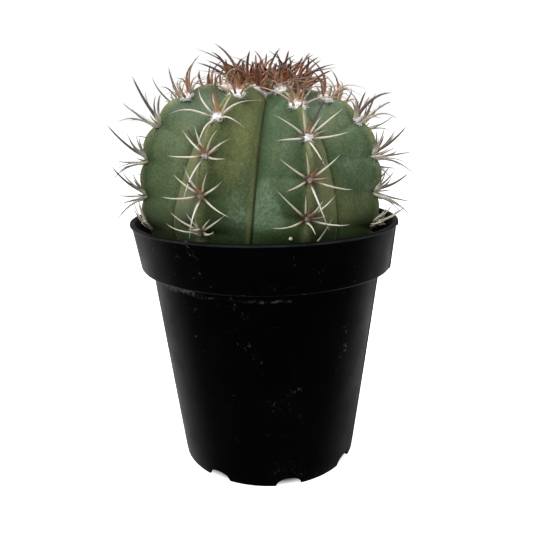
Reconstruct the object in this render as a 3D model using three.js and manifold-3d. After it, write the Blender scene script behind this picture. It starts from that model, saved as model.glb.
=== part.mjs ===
// A round ribbed cactus growing in a black nursery pot.
//
// Millimetres, +Z up. The origin is on the pot's axis, at the level the foot stands on.
// The front of the plant faces -Y and +X is to its right. An azimuth is measured in degrees
// from the front, towards the right.

import * as THREE from 'three';
import { mergeVertices } from 'three/addons/utils/BufferGeometryUtils.js';
import Module from 'manifold-3d';

const wasm = await Module();
wasm.setup();

// ---------------------------------------------------------------- driving dimensions

// Pot: a thin moulded cone with a stepped-out band and a narrow lip.
const POT_HEIGHT = 98;
const POT_SIDES = 48;
const WALL = 1.2;
const FOOT_RADIUS = 35.9;
const SHOULDER_RADIUS = 45.45; // outside of the cone, right under the band
const SHOULDER_HEIGHT = 80;
const BAND_RADIUS = 49.5; // outside of the band at its lower corner
const BAND_TOP_RADIUS = 51.95;
const BAND_CORNER = 0.9;
const LIP_RADIUS = 52.5;
const LIP_HEIGHT = 1.1;
const FLOOR_UNDER = 3.8; // the floor is raised, so the pot stands on a foot ring
const FLOOR_THICKNESS = 1.4;
const FOOT_EXTRA = 0.4; // the foot ring is this much thicker than the wall
const SCALLOPS = 8; // drainage notches through the foot ring
const SCALLOP_WIDTH = 10;
const SCALLOP_HEIGHT = 3.4;
const FIRST_SCALLOP = 11.6; // azimuth
const DRAINS = 4;
const DRAIN_RADIUS = 3.5;
const DRAIN_CIRCLE = 22;
const DRAIN_SIDES = 8;

// Soil: filled to a little under the lip.
const SOIL_LEVEL = 88;
const SOIL_UNEVENNESS = 0.7;
const SOIL_RINGS = [44, 40, 31]; // radii, from the wall in to under the stem
const CLEARANCE = 0.35; // between neighbours that rest against each other

// Stem: a rounded body, fullest in the middle, that leans a little.
const RIBS = 8;
const FIRST_RIB = 19.2; // azimuth of a crest
const RIB_PITCH = 360 / RIBS;
const STEM_RADIUS = 44.8; // over the crests, in the notches that hold the areoles
const STEM_MIDDLE = 110.5; // height of the widest level
const STEM_RISE = 36.6; // from there to the crown
const STEM_DROP = 32.9; // from there to the underside, in the soil
const FULLNESS = 2.7; // power of the superellipse: 2 is an ellipse, more is squarer
const GROOVE_DEPTH = 6.2; // in the cross-section that is drawn and then scaled
const GROOVE_LOW = 2.2; // real depth in the old, filled-out skin near the soil
const GROOVE_HIGH = 10; // on the shoulder
const GROOVE_TOP = 6.5; // at the edge of the crown
const GROOVE_DEEPENS = [-16, 20]; // arc lengths between which a groove deepens
const GROOVE_EASES = [28, 48]; // and between which it grows shallower again
const FLANK_BULGE = 1;
const BULGE_SKEW = 1.4; // pushes the bulge towards the groove
const HUMP = 2.4; // how far the crest swells between two areoles
const HUMP_ROUNDNESS = 0.7; // below 1 the notches are sharper than the swellings
const HUMP_NARROWING = 2; // how fast a swelling dies out down the flank
const DIMPLE_DEPTH = 4;
const DIMPLE_RADIUS = 15;
const GROOVES_END = 7.8; // inside this radius the crown is smooth
const GROOVES_FULL = 22; // from this radius on the grooves have their full depth
const ROOT_LENGTH = 36;
const ROOT_RADIUS = 7;
const ROOT_TAPER = 0.6;
const ROOT_STOPS = [0.85, 0.5, 0.12]; // shares of the way down to its tip
const LEAN_RIGHT = 5;
const LEAN_FORWARD = 3.1;
const LEAN_PIVOT = 95;
const PLANT_SHIFT = -2.6; // along X, at the height of the pivot
const ROW_SHARES = [-1, -0.86, -0.42, 0, 0.42, 0.86]; // columns between two grooves
const ROWS_PER_AREOLE = 3;
const BURIED_ROWS = [-57, -46, -34]; // arc lengths
const LAST_ROW = 1.5; // arc length left between the last row and the middle of the crown

// Areoles: one row down each crest. The starts are arc lengths from the widest level to the
// nearest areole, rib by rib from FIRST_RIB round to the left.
const AREOLE_STARTS = [-2.7, 2.1, -4.2, 1.2, -5.1, 3.2, -2.4, 4.0];
const AREOLE_SPACING = 12.4;
const AREOLE_STRETCH = 0.35; // each step up the crest is longer by twice this
const LOWEST_AREOLE = -19;
const HIGHEST_AREOLE = 49;
const PAD_RADIUS = 1.9;
const PAD_HEIGHT = 0.9;
const YOUNG_FROM = 8; // arc length from which areoles are woollier and spines thicker

// Spines of one areole: angle from the crown's direction, lift off the body's surface,
// length, and how far the tip bends up.
const SPINES = [
  { turn: -60, lift: 30, length: 13, bend: 0 },
  { turn: 58, lift: 30, length: 13, bend: 0 },
  { turn: -112, lift: 36, length: 14.5, bend: 0 },
  { turn: 110, lift: 36, length: 14.5, bend: 0 },
  { turn: 176, lift: 46, length: 15, bend: -0.3 },
  { turn: -28, lift: 38, length: 9.5, bend: 0 },
  { turn: 30, lift: 38, length: 9.5, bend: 0 },
  { turn: 6, lift: 62, length: 14, bend: 0.24 },
];
const SPINE_RADIUS = 0.4;
const CROWN_SPINE_RADIUS = 0.62;
const SPINE_ROOT = 1.4; // sunk below the surface
const SPINE_SIDES = 3;
const SPINE_WAIST = 0.72; // thickness half way up, as a share of the root's
const STRAIGHT = 0.08; // a spine that bends less than this has no joint half way
const KEEP_CLEAR = 1; // between a spine and the pot or the soil
const SPINE_REACH = 53.8; // from the pot's axis: longer side spines wear off
const BENDING_TRIES = 14;
const PATTERN = 41; // another value draws another set of small differences

// Crown: a low woolly cushion in the dimple, full of young spines.
const CUSHION_RADIUS = 14.5;
const CUSHION_EDGE = 0.5; // thickness at the edge, over a crest
const CUSHION_DOME = 2.6;
const CUSHION_SIDES = 24;
const TUFTS = 27;
const TUFT_SPINES = 3;
const TUFT_REACH = 12.6;
const CROWN_LENGTH = 7.5; // spine length in the middle of the crown
const CROWN_LENGTHENING = 5.5; // and this much more at its edge
const CROWN_TILT = 6; // how far a spine leans in the middle of the crown
const CROWN_TILTING = 46; // and this much more at its edge
const GOLDEN_ANGLE = 137.508;

// ---------------------------------------------------------------- small helpers

const radians = THREE.MathUtils.degToRad;
const clamp = THREE.MathUtils.clamp;

// A repeatable number from 0 to 1 for a place in the pattern.
function draw(a, b, c) {
  const value = Math.sin(a * 12.9898 + b * 78.233 + c * 37.719 + PATTERN) * 43758.5453;
  return value - Math.floor(value);
}

function spread(a, b, c) {
  return 2 * draw(a, b, c) - 1;
}

function outward(azimuth) {
  return new THREE.Vector3(Math.sin(radians(azimuth)), -Math.cos(radians(azimuth)), 0);
}

function sideways(azimuth) {
  return new THREE.Vector3(Math.cos(radians(azimuth)), Math.sin(radians(azimuth)), 0);
}

// A closed geometry as a solid that can be joined and cut.
function solid(geometry) {
  const bare = new THREE.BufferGeometry();
  bare.setAttribute('position', geometry.getAttribute('position').clone());
  if (geometry.index) bare.setIndex(geometry.index.clone());
  const merged = mergeVertices(bare, 1e-4);
  const mesh = new wasm.Mesh({
    numProp: 3,
    vertProperties: new Float32Array(merged.getAttribute('position').array),
    triVerts: new Uint32Array(merged.index.array),
  });
  return new wasm.Manifold(mesh);
}

// The geometry of a joined or cut solid.
function geometryOf(body) {
  const mesh = body.getMesh();
  const geometry = new THREE.BufferGeometry();
  geometry.setAttribute('position', new THREE.BufferAttribute(mesh.vertProperties, 3));
  geometry.setIndex(new THREE.BufferAttribute(mesh.triVerts, 1));
  geometry.computeVertexNormals();
  return geometry;
}

// A closed skin over rows of points that go round, with a tip point at each end. Each square
// is split on one diagonal, or on the other where mirrored says so for its column.
function skin(low, rows, high, mirrored = () => false) {
  const around = rows[0].length;
  const points = [low, ...rows.flat(), high];
  const last = points.length - 1;
  const faces = [];
  for (let j = 0; j < around; j++) {
    const k = (j + 1) % around;
    faces.push(0, 1 + k, 1 + j);
    for (let i = 0; i + 1 < rows.length; i++) {
      const below = 1 + i * around;
      const above = below + around;
      if (mirrored(j)) faces.push(below + j, below + k, above + j, below + k, above + k, above + j);
      else faces.push(below + j, below + k, above + k, below + j, above + k, above + j);
    }
    const top = last - around;
    faces.push(top + j, top + k, last);
  }
  const geometry = new THREE.BufferGeometry().setFromPoints(points);
  geometry.setIndex(faces);
  return geometry;
}

// ---------------------------------------------------------------- the pot

// Radius of the pot's outside on the straight cone and on the band.
function coneRadius(z) {
  return THREE.MathUtils.mapLinear(z, 0, SHOULDER_HEIGHT, FOOT_RADIUS, SHOULDER_RADIUS);
}

function bandRadius(z) {
  return THREE.MathUtils.mapLinear(z, SHOULDER_HEIGHT, POT_HEIGHT, BAND_RADIUS, BAND_TOP_RADIUS);
}

// Radius of the free space inside the pot.
function innerRadius(z) {
  return (z > SHOULDER_HEIGHT + WALL ? bandRadius(z) : coneRadius(z)) - WALL;
}

function potProfile() {
  const floorTop = FLOOR_UNDER + FLOOR_THICKNESS;
  const lipUnder = POT_HEIGHT - LIP_HEIGHT;
  const rounding = LIP_HEIGHT / 3;
  return [
    [0, FLOOR_UNDER],
    [coneRadius(FLOOR_UNDER) - WALL - FOOT_EXTRA, FLOOR_UNDER],
    [FOOT_RADIUS - WALL - FOOT_EXTRA, 0],
    [FOOT_RADIUS, 0],
    [SHOULDER_RADIUS, SHOULDER_HEIGHT],
    [BAND_RADIUS - BAND_CORNER, SHOULDER_HEIGHT],
    [BAND_RADIUS, SHOULDER_HEIGHT + BAND_CORNER],
    [bandRadius(lipUnder), lipUnder],
    [LIP_RADIUS, lipUnder + rounding / 2],
    [LIP_RADIUS, POT_HEIGHT - rounding],
    [LIP_RADIUS - rounding, POT_HEIGHT],
    [bandRadius(POT_HEIGHT) - WALL, POT_HEIGHT],
    [bandRadius(SHOULDER_HEIGHT + WALL) - WALL, SHOULDER_HEIGHT + WALL],
    [coneRadius(SHOULDER_HEIGHT) - WALL, SHOULDER_HEIGHT + WALL],
    [coneRadius(floorTop) - WALL, floorTop],
    [0, floorTop],
  ].map(([r, z]) => new THREE.Vector2(r, z));
}

// A lathe turns about Y, so it is stood up on Z.
function turned(profile, sides) {
  return new THREE.LatheGeometry(profile, sides).rotateX(Math.PI / 2);
}

// An arch-topped cutter through the foot ring.
function scallopCutter(index) {
  const half = SCALLOP_WIDTH / 2;
  const below = 2;
  const arch = new THREE.Shape();
  arch.moveTo(-half, -below);
  arch.lineTo(half, -below);
  arch.lineTo(half, 0);
  arch.absellipse(0, 0, half, SCALLOP_HEIGHT, 0, Math.PI, false);
  arch.lineTo(-half, -below);
  const reach = 12;
  const cutter = new THREE.ExtrudeGeometry(arch, {
    depth: reach,
    bevelEnabled: false,
    curveSegments: 6,
  });
  cutter.rotateX(Math.PI / 2);
  cutter.translate(0, -(FOOT_RADIUS - reach / 2), 0);
  cutter.rotateZ(radians(FIRST_SCALLOP + (index * 360) / SCALLOPS));
  return solid(cutter);
}

function drainCutter(index) {
  const depth = 4 * FLOOR_THICKNESS;
  const hole = new THREE.CylinderGeometry(DRAIN_RADIUS, DRAIN_RADIUS, depth, DRAIN_SIDES);
  hole.rotateX(Math.PI / 2);
  const centre = outward((index * 360) / DRAINS).multiplyScalar(DRAIN_CIRCLE);
  hole.translate(centre.x, centre.y, FLOOR_UNDER + FLOOR_THICKNESS / 2);
  return solid(hole);
}

function makePot() {
  let pot = solid(turned(potProfile(), POT_SIDES));
  for (let i = 0; i < SCALLOPS; i++) pot = pot.subtract(scallopCutter(i));
  for (let i = 0; i < DRAINS; i++) pot = pot.subtract(drainCutter(i));
  return pot;
}

// ---------------------------------------------------------------- the stem's shape

// The crest line as a superellipse, sampled finely and measured by arc length from the
// widest level: negative towards the soil, positive towards the crown.
const CREST_SAMPLES = 1500;

function measureCrest() {
  const samples = [];
  let arc = 0;
  for (let i = 0; i <= CREST_SAMPLES; i++) {
    const angle = THREE.MathUtils.lerp(-Math.PI / 2, Math.PI / 2, i / CREST_SAMPLES);
    const r = STEM_RADIUS * Math.abs(Math.cos(angle)) ** (2 / FULLNESS);
    const rise = Math.sign(angle) * Math.abs(Math.sin(angle)) ** (2 / FULLNESS);
    const z = STEM_MIDDLE + rise * (angle > 0 ? STEM_RISE : STEM_DROP);
    const before = samples.at(-1);
    if (before) arc += Math.hypot(r - before.r, z - before.z);
    samples.push({ arc, r, z });
  }
  const middle = samples[CREST_SAMPLES / 2].arc;
  return samples.map(({ arc: a, r, z }) => ({ arc: a - middle, r, z }));
}

const CREST = measureCrest();
const CREST_END = CREST.at(-1).arc;

// Point of the crest line at an arc length, with the direction along it and out of it.
function crestAt(arc) {
  let low = 0;
  let high = CREST.length - 1;
  while (high - low > 1) {
    const half = (low + high) >> 1;
    if (CREST[half].arc <= arc) low = half;
    else high = half;
  }
  const a = CREST[low];
  const b = CREST[high];
  const share = clamp((arc - a.arc) / (b.arc - a.arc), 0, 1);
  const run = Math.hypot(b.r - a.r, b.z - a.z);
  return {
    r: THREE.MathUtils.lerp(a.r, b.r, share),
    z: THREE.MathUtils.lerp(a.z, b.z, share),
    along: new THREE.Vector2((b.r - a.r) / run, (b.z - a.z) / run),
    out: new THREE.Vector2((b.z - a.z) / run, (a.r - b.r) / run),
  };
}

// Arc length from a rib's first areole to one of the others, and its place on the crest.
function areoleDistance(number) {
  return AREOLE_SPACING * number + AREOLE_STRETCH * Math.max(number, 0) ** 2;
}

function areoleArc(rib, number) {
  return AREOLE_STARTS[rib] + areoleDistance(number);
}

// The areole number, with its fraction, at an arc length.

function areoleNumber(rib, arc) {
  const distance = arc - AREOLE_STARTS[rib];
  if (distance < 0) return distance / AREOLE_SPACING;
  const root = Math.sqrt(AREOLE_SPACING ** 2 + 4 * AREOLE_STRETCH * distance);
  return (root - AREOLE_SPACING) / (2 * AREOLE_STRETCH);
}

// How much of the groove's depth is reached at a share of the way from crest to groove:
// a straight flank between the two, plus a gentle bulge.
function flankDrop(share) {
  const half = radians(RIB_PITCH / 2);
  const crest = STEM_RADIUS;
  const groove = STEM_RADIUS - GROOVE_DEPTH;
  const spanned = crest * Math.sin(share * half) + groove * Math.sin((1 - share) * half);
  const straight = (crest * groove * Math.sin(half)) / spanned;
  const skewed = share ** BULGE_SKEW;
  const bulge = 4 * FLANK_BULGE * skewed * (1 - skewed);
  return (crest - straight - bulge) / GROOVE_DEPTH;
}

function grooveDepth(arc) {
  const deep = THREE.MathUtils.smoothstep(arc, ...GROOVE_DEEPENS);
  const eased = THREE.MathUtils.smoothstep(arc, ...GROOVE_EASES);
  return THREE.MathUtils.lerp(GROOVE_LOW, GROOVE_HIGH, deep) - (GROOVE_HIGH - GROOVE_TOP) * eased;
}

// The plant leans as one body about a point on its axis.
const leaning = new THREE.Matrix4()
  .makeTranslation(PLANT_SHIFT, 0, LEAN_PIVOT)
  .multiply(new THREE.Matrix4().makeRotationFromEuler(
    new THREE.Euler(radians(LEAN_FORWARD), radians(LEAN_RIGHT), 0, 'YXZ')))
  .multiply(new THREE.Matrix4().makeTranslation(0, 0, -LEAN_PIVOT));

// A point of the stem's skin: rib, share of the way to a groove (-1 to 1) and arc length.
function stemPoint(rib, share, arc, grow) {
  const line = crestAt(arc);
  const side = Math.abs(share);
  const fade = THREE.MathUtils.smoothstep(line.r, GROOVES_END, GROOVES_FULL);
  const swell = Math.abs(Math.sin(Math.PI * areoleNumber(rib, arc))) ** HUMP_ROUNDNESS;
  const hump = HUMP * swell * (1 - side) ** HUMP_NARROWING;
  const offset = fade * (hump - grooveDepth(arc) * flankDrop(side)) + grow;
  const hollow = clamp(1 - (line.r / DIMPLE_RADIUS) ** 2, 0, 1) ** 2;
  const dimple = arc > 0 ? DIMPLE_DEPTH * hollow : 0;
  const r = Math.max(line.r + line.out.x * offset, CLEARANCE);
  const z = line.z + line.out.y * offset - dimple;
  const azimuth = FIRST_RIB - rib * RIB_PITCH + (share * RIB_PITCH) / 2;
  return outward(azimuth).multiplyScalar(r).setZ(z);
}

// One row of points round the stem. On the crests it shifts to follow each rib's areoles,
// except near the root and in the crown.
function stemRow(arc, grow) {
  const above = THREE.MathUtils.smoothstep(arc, -40, -25);
  const below = 1 - THREE.MathUtils.smoothstep(arc, 40, CREST_END - 4);
  const row = [];
  for (let rib = RIBS - 1; rib >= 0; rib--) {
    for (const share of ROW_SHARES) {
      const shift = AREOLE_STARTS[rib] * (1 - Math.abs(share)) * above * below;
      row.push(stemPoint(rib, share, arc + shift, grow));
    }
  }
  return row;
}

// The taproot below the stem, as plain rings that narrow to its tip.
function rootRows(grow) {
  const base = crestAt(-Infinity).z;
  return ROOT_STOPS.map((share) => {
    const r = ROOT_RADIUS * (1 - share) ** ROOT_TAPER + grow;
    const count = RIBS * ROW_SHARES.length;
    const first = FIRST_RIB - (RIBS - 1) * RIB_PITCH - RIB_PITCH / 2;
    return Array.from({ length: count }, (_, i) =>
      outward(first + (i * 360) / count).multiplyScalar(r).setZ(base - share * ROOT_LENGTH));
  });
}

// The stem grown outward by a clearance, up to an arc length, where it ends in a low point.
function stemSolid(grow, upTo) {
  const rows = rootRows(grow);
  for (const arc of BURIED_ROWS) rows.push(stemRow(arc, grow));
  for (let i = -2 * ROWS_PER_AREOLE; ; i++) {
    const arc = areoleDistance(i / ROWS_PER_AREOLE);
    if (arc > Math.min(upTo, CREST_END - LAST_ROW)) break;
    rows.push(stemRow(arc, grow));
  }
  const base = crestAt(-Infinity).z;
  const tip = new THREE.Vector3(0, 0, base - ROOT_LENGTH - grow);
  const top = new THREE.Vector3(0, 0, rows.at(-1)[0].z);
  const half = ROW_SHARES.length / 2;
  const rightOfCrest = (j) => j % ROW_SHARES.length >= half;
  return solid(skin(tip, rows, top, rightOfCrest).applyMatrix4(leaning));
}

// ---------------------------------------------------------------- spines

// A slender curved cone from a root under the surface to a sharp tip.
function spineSolid(root, direction, bend, length, radius) {
  const side = new THREE.Vector3(0, 0, 1).cross(direction);
  side.normalize();
  const over = direction.clone().cross(side).normalize();
  const at = (share) => root.clone()
    .addScaledVector(direction, length * share)
    .addScaledVector(bend, length * Math.max(share, 0) ** 2);
  const ring = (share, size) => {
    const centre = at(share);
    return Array.from({ length: SPINE_SIDES }, (_, i) => {
      const angle = (i * 2 * Math.PI) / SPINE_SIDES;
      return centre.clone()
        .addScaledVector(side, size * Math.cos(angle))
        .addScaledVector(over, size * Math.sin(angle));
    });
  };
  const sunk = -SPINE_ROOT / length;
  const low = at(sunk);
  const rows = [ring(sunk * 0.9, radius)];
  if (bend.length() > STRAIGHT) rows.push(ring(0.5, radius * SPINE_WAIST));
  return solid(skin(low, rows, at(1)));
}

function soilHeight(x, y) {
  const wave = Math.sin(x * 0.31 + y * 0.17) + Math.sin(y * 0.43 - x * 0.22 + 1.3);
  return SOIL_LEVEL + (SOIL_UNEVENNESS * wave) / 2;
}

// Whether a point keeps clear of the soil and of the pot's wall and lip.
function isClear(point) {
  const r = Math.hypot(point.x, point.y);
  if (point.z < soilHeight(point.x, point.y) + KEEP_CLEAR) return false;
  if (point.z > POT_HEIGHT + KEEP_CLEAR) return true;
  return r < innerRadius(point.z) - KEEP_CLEAR;
}

// A spine that would touch the pot or the soil is bent up until it is clear.
function clearedSpine(root, direction, bend, length, radius) {
  const up = new THREE.Vector3(0, 0, 1);
  const aimed = direction.clone();
  for (let i = 0; i < BENDING_TRIES; i++) {
    let size = length * (1 - i * 0.03); // a little shorter each time too
    const tip = () => root.clone().addScaledVector(aimed, size).addScaledVector(bend, size);
    while (Math.hypot(tip().x, tip().y) > SPINE_REACH) size *= 0.97;
    const clear = [0.15, 0.4, 0.6, 0.8, 1].every((share) => isClear(root.clone()
      .addScaledVector(aimed, size * share)
      .addScaledVector(bend, size * share * share)));
    if (clear) return spineSolid(root, aimed, bend, size, radius);
    aimed.addScaledVector(up, 2 / BENDING_TRIES).normalize();
  }
  return null;
}

// The pad and spines of one areole, in the leaning plant's own directions.
function areoleSolids(rib, number) {
  const arc = areoleArc(rib, number);
  const azimuth = FIRST_RIB - rib * RIB_PITCH;
  const line = crestAt(arc);
  const radial = outward(azimuth);
  const stand = (v) => radial.clone().multiplyScalar(v.x).setZ(v.y).transformDirection(leaning);
  const out = stand(line.out);
  const along = stand(line.along);
  const side = sideways(azimuth).transformDirection(leaning);
  const place = stemPoint(rib, 0, arc, 0).applyMatrix4(leaning);

  const youth = THREE.MathUtils.smoothstep(arc, YOUNG_FROM, HIGHEST_AREOLE);
  const padSize = PAD_RADIUS * (0.85 + 0.35 * youth);
  const pad = new THREE.IcosahedronGeometry(1, 0);
  pad.applyMatrix4(new THREE.Matrix4().makeBasis(
    side.clone().multiplyScalar(padSize),
    along.clone().multiplyScalar(padSize),
    out.clone().multiplyScalar(PAD_HEIGHT)));
  pad.translate(place.x, place.y, place.z);
  const solids = [solid(pad)];

  SPINES.forEach((spine, i) => {
    const turn = radians(spine.turn + 9 * spread(rib, number, i));
    const rising = radians(spine.lift + 6 * youth + 7 * spread(rib, number, i + 20));
    const flat = along.clone().multiplyScalar(Math.cos(turn)).addScaledVector(side, Math.sin(turn));
    const direction = flat.clone().multiplyScalar(Math.cos(rising))
      .addScaledVector(out, Math.sin(rising)).normalize();
    const bend = new THREE.Vector3(0, 0, spine.bend * (1 - 0.6 * youth));
    const length = spine.length * (1 - 0.16 * youth + 0.14 * spread(rib, number, i + 40));
    const radius = THREE.MathUtils.lerp(SPINE_RADIUS, CROWN_SPINE_RADIUS, youth);
    const root = place.clone().addScaledVector(flat, padSize * 0.8);
    const made = clearedSpine(root, direction, bend, length, radius);
    if (made) solids.push(made);
  });
  return solids;
}

function makeCactus() {
  const solids = [stemSolid(0, Infinity)];
  for (let rib = 0; rib < RIBS; rib++) {
    for (let number = -3; number < 6; number++) {
      const arc = areoleArc(rib, number);
      if (arc > LOWEST_AREOLE && arc < HIGHEST_AREOLE) solids.push(...areoleSolids(rib, number));
    }
  }
  return wasm.Manifold.union(solids);
}

// ---------------------------------------------------------------- the crown

// Height of a crest at a distance from the plant's own axis, inside the crown.
function crestHeight(r) {
  let arc = CREST_END;
  while (crestAt(arc).r < r) arc -= 0.1;
  return stemPoint(0, 0, arc, 0).z;
}

const CUSHION_RIM = crestHeight(CUSHION_RADIUS) + CLEARANCE + CUSHION_EDGE;

function cushionTop(r) {
  return CUSHION_RIM + CUSHION_DOME * (1 - (r / CUSHION_RADIUS) ** 2);
}

// A domed lens, deep enough to reach the bottom of the dimple and of the grooves.
function cushionSolid() {
  const base = CUSHION_RIM - GROOVE_DEPTH;
  const stops = [1, 0.7, 0.35, 0].map((share) => share * CUSHION_RADIUS);
  const over = stops.map((r) => new THREE.Vector2(r, cushionTop(r)));
  const under = [new THREE.Vector2(0, base), new THREE.Vector2(CUSHION_RADIUS, base)];
  return solid(turned([...under, ...over], CUSHION_SIDES).applyMatrix4(leaning));
}

// Young spines stand in tufts, upright in the middle and leaning outward at the edge. The
// stem's own shape is cut from under them, and one that would run through an older spine of
// the stem is left out.
function makeCrown(cactus) {
  const stem = stemSolid(CLEARANCE, Infinity);
  const solids = [cushionSolid()];
  for (let tuft = 0; tuft < TUFTS; tuft++) {
    const share = Math.sqrt((tuft + 0.5) / TUFTS);
    const r = TUFT_REACH * share;
    const around = tuft * GOLDEN_ANGLE;
    for (let i = 0; i < TUFT_SPINES; i++) {
      const heading = around + (20 + 50 * (1 - share)) * spread(tuft, i, 3);
      const tilt = radians(CROWN_TILT + CROWN_TILTING * share + 14 * spread(tuft, i, 5));
      const beside = (14 * (i - (TUFT_SPINES - 1) / 2)) / Math.max(share, 0.3);
      const root = outward(around + beside).multiplyScalar(r).setZ(cushionTop(r) - 0.4);
      const direction = outward(heading).multiplyScalar(Math.sin(tilt)).setZ(Math.cos(tilt));
      const bend = outward(heading).transformDirection(leaning).multiplyScalar(0.2 * share);
      const length = (CROWN_LENGTH + CROWN_LENGTHENING * share) * (1 + 0.15 * spread(tuft, i, 7));
      const spine = spineSolid(root.applyMatrix4(leaning), direction.transformDirection(leaning),
        bend, length, CROWN_SPINE_RADIUS);
      if (spine.subtract(stem).intersect(cactus).isEmpty()) solids.push(spine);
    }
  }
  return wasm.Manifold.union(solids).subtract(stem);
}

// ---------------------------------------------------------------- the soil

function makeSoil() {
  const floor = FLOOR_UNDER + FLOOR_THICKNESS;
  const wallStops = [floor, SHOULDER_HEIGHT + WALL - CLEARANCE];
  const ringAt = (r, height) => Array.from({ length: POT_SIDES }, (_, j) => {
    const point = outward((j * 360) / POT_SIDES).multiplyScalar(r);
    return point.setZ(height ?? soilHeight(point.x, point.y));
  });
  const rows = [
    ...wallStops.map((z) => ringAt(coneRadius(z) - WALL - CLEARANCE, z)),
    ringAt(coneRadius(SHOULDER_HEIGHT) - WALL - CLEARANCE, SHOULDER_HEIGHT + WALL + CLEARANCE),
    ringAt(innerRadius(SHOULDER_HEIGHT + 2) - CLEARANCE, SHOULDER_HEIGHT + WALL + CLEARANCE),
    ringAt(innerRadius(SOIL_LEVEL) - CLEARANCE),
    ...SOIL_RINGS.map((r) => ringAt(r)),
  ];
  const low = new THREE.Vector3(0, 0, floor);
  const high = new THREE.Vector3(0, 0, SOIL_LEVEL);
  const hole = stemSolid(CLEARANCE, -10);
  return solid(skin(low, rows, high)).subtract(hole);
}

// ---------------------------------------------------------------- the object

const finishes = {
  pot: new THREE.MeshStandardMaterial({ color: 0x161618, roughness: 0.5, metalness: 0 }),
  soil: new THREE.MeshStandardMaterial({ color: 0x2b221b, roughness: 1, metalness: 0 }),
  cactus: new THREE.MeshStandardMaterial({ color: 0x4d6f4f, roughness: 0.55, metalness: 0 }),
  crown: new THREE.MeshStandardMaterial({ color: 0x8a4a36, roughness: 0.7, metalness: 0 }),
};

const group = new THREE.Group();

function addPart(name, body) {
  const mesh = new THREE.Mesh(geometryOf(body), finishes[name]);
  mesh.name = name;
  group.add(mesh);
}

const cactus = makeCactus();
addPart('pot', makePot());
addPart('soil', makeSoil());
addPart('cactus', cactus);
addPart('crown', makeCrown(cactus));

export default group;
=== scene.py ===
# %% [markdown]
# # A round ribbed cactus in a black nursery pot
#
# The plant is a ball with eight ribs. A row of woolly cushions, the areoles, runs down each rib,
# and each holds a bunch of spines. Young red-brown spines crowd the crown. The pot is thin black
# plastic with a stepped band under its lip.
#
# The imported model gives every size. This script dresses it: each solid is replaced by a finer
# piece of the same form, and every surface gets a finish built from nodes.

import math
import bpy
import numpy as np
from mathutils import Matrix, Vector


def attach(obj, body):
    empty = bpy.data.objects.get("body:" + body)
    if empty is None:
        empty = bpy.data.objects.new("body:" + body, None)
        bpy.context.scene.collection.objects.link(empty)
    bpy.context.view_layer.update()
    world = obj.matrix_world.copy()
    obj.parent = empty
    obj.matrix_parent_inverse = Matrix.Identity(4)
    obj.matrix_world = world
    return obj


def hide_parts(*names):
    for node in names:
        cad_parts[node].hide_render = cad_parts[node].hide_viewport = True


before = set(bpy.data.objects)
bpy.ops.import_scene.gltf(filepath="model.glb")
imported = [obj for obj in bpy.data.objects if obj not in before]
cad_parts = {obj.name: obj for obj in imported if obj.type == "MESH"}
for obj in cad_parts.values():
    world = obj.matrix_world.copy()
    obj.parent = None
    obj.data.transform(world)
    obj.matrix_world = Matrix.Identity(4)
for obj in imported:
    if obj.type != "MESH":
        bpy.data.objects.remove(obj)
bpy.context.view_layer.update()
print("nodes in the frame:", sorted(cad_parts))

# %% [markdown]
# ## Writing node trees as arithmetic
#
# A stem with ribs, swellings and a lean is a page of formulas. Placing each Math node by hand
# hides them, so a small wrapper lets the script write `a * b + c` and adds the nodes itself.

# %% Wires and nets
class Wire:
    """A value on its way through a node tree. Arithmetic on it adds math nodes."""

    def __init__(self, net, socket):
        self.net = net
        self.socket = socket

    def __add__(self, other):
        return self.net.combine("ADD", self, other)

    def __radd__(self, other):
        return self.net.combine("ADD", other, self)

    def __sub__(self, other):
        return self.net.combine("SUBTRACT", self, other)

    def __rsub__(self, other):
        return self.net.combine("SUBTRACT", other, self)

    def __mul__(self, other):
        return self.net.combine("MULTIPLY", self, other)

    def __truediv__(self, other):
        return self.net.combine("DIVIDE", self, other)

    def __rtruediv__(self, other):
        return self.net.combine("DIVIDE", other, self)

    def __pow__(self, power):
        return self.net.math("POWER", self, power)


def is_vector(value):
    if isinstance(value, Wire):
        return value.socket.type == "VECTOR"
    return isinstance(value, (tuple, Vector))


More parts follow.
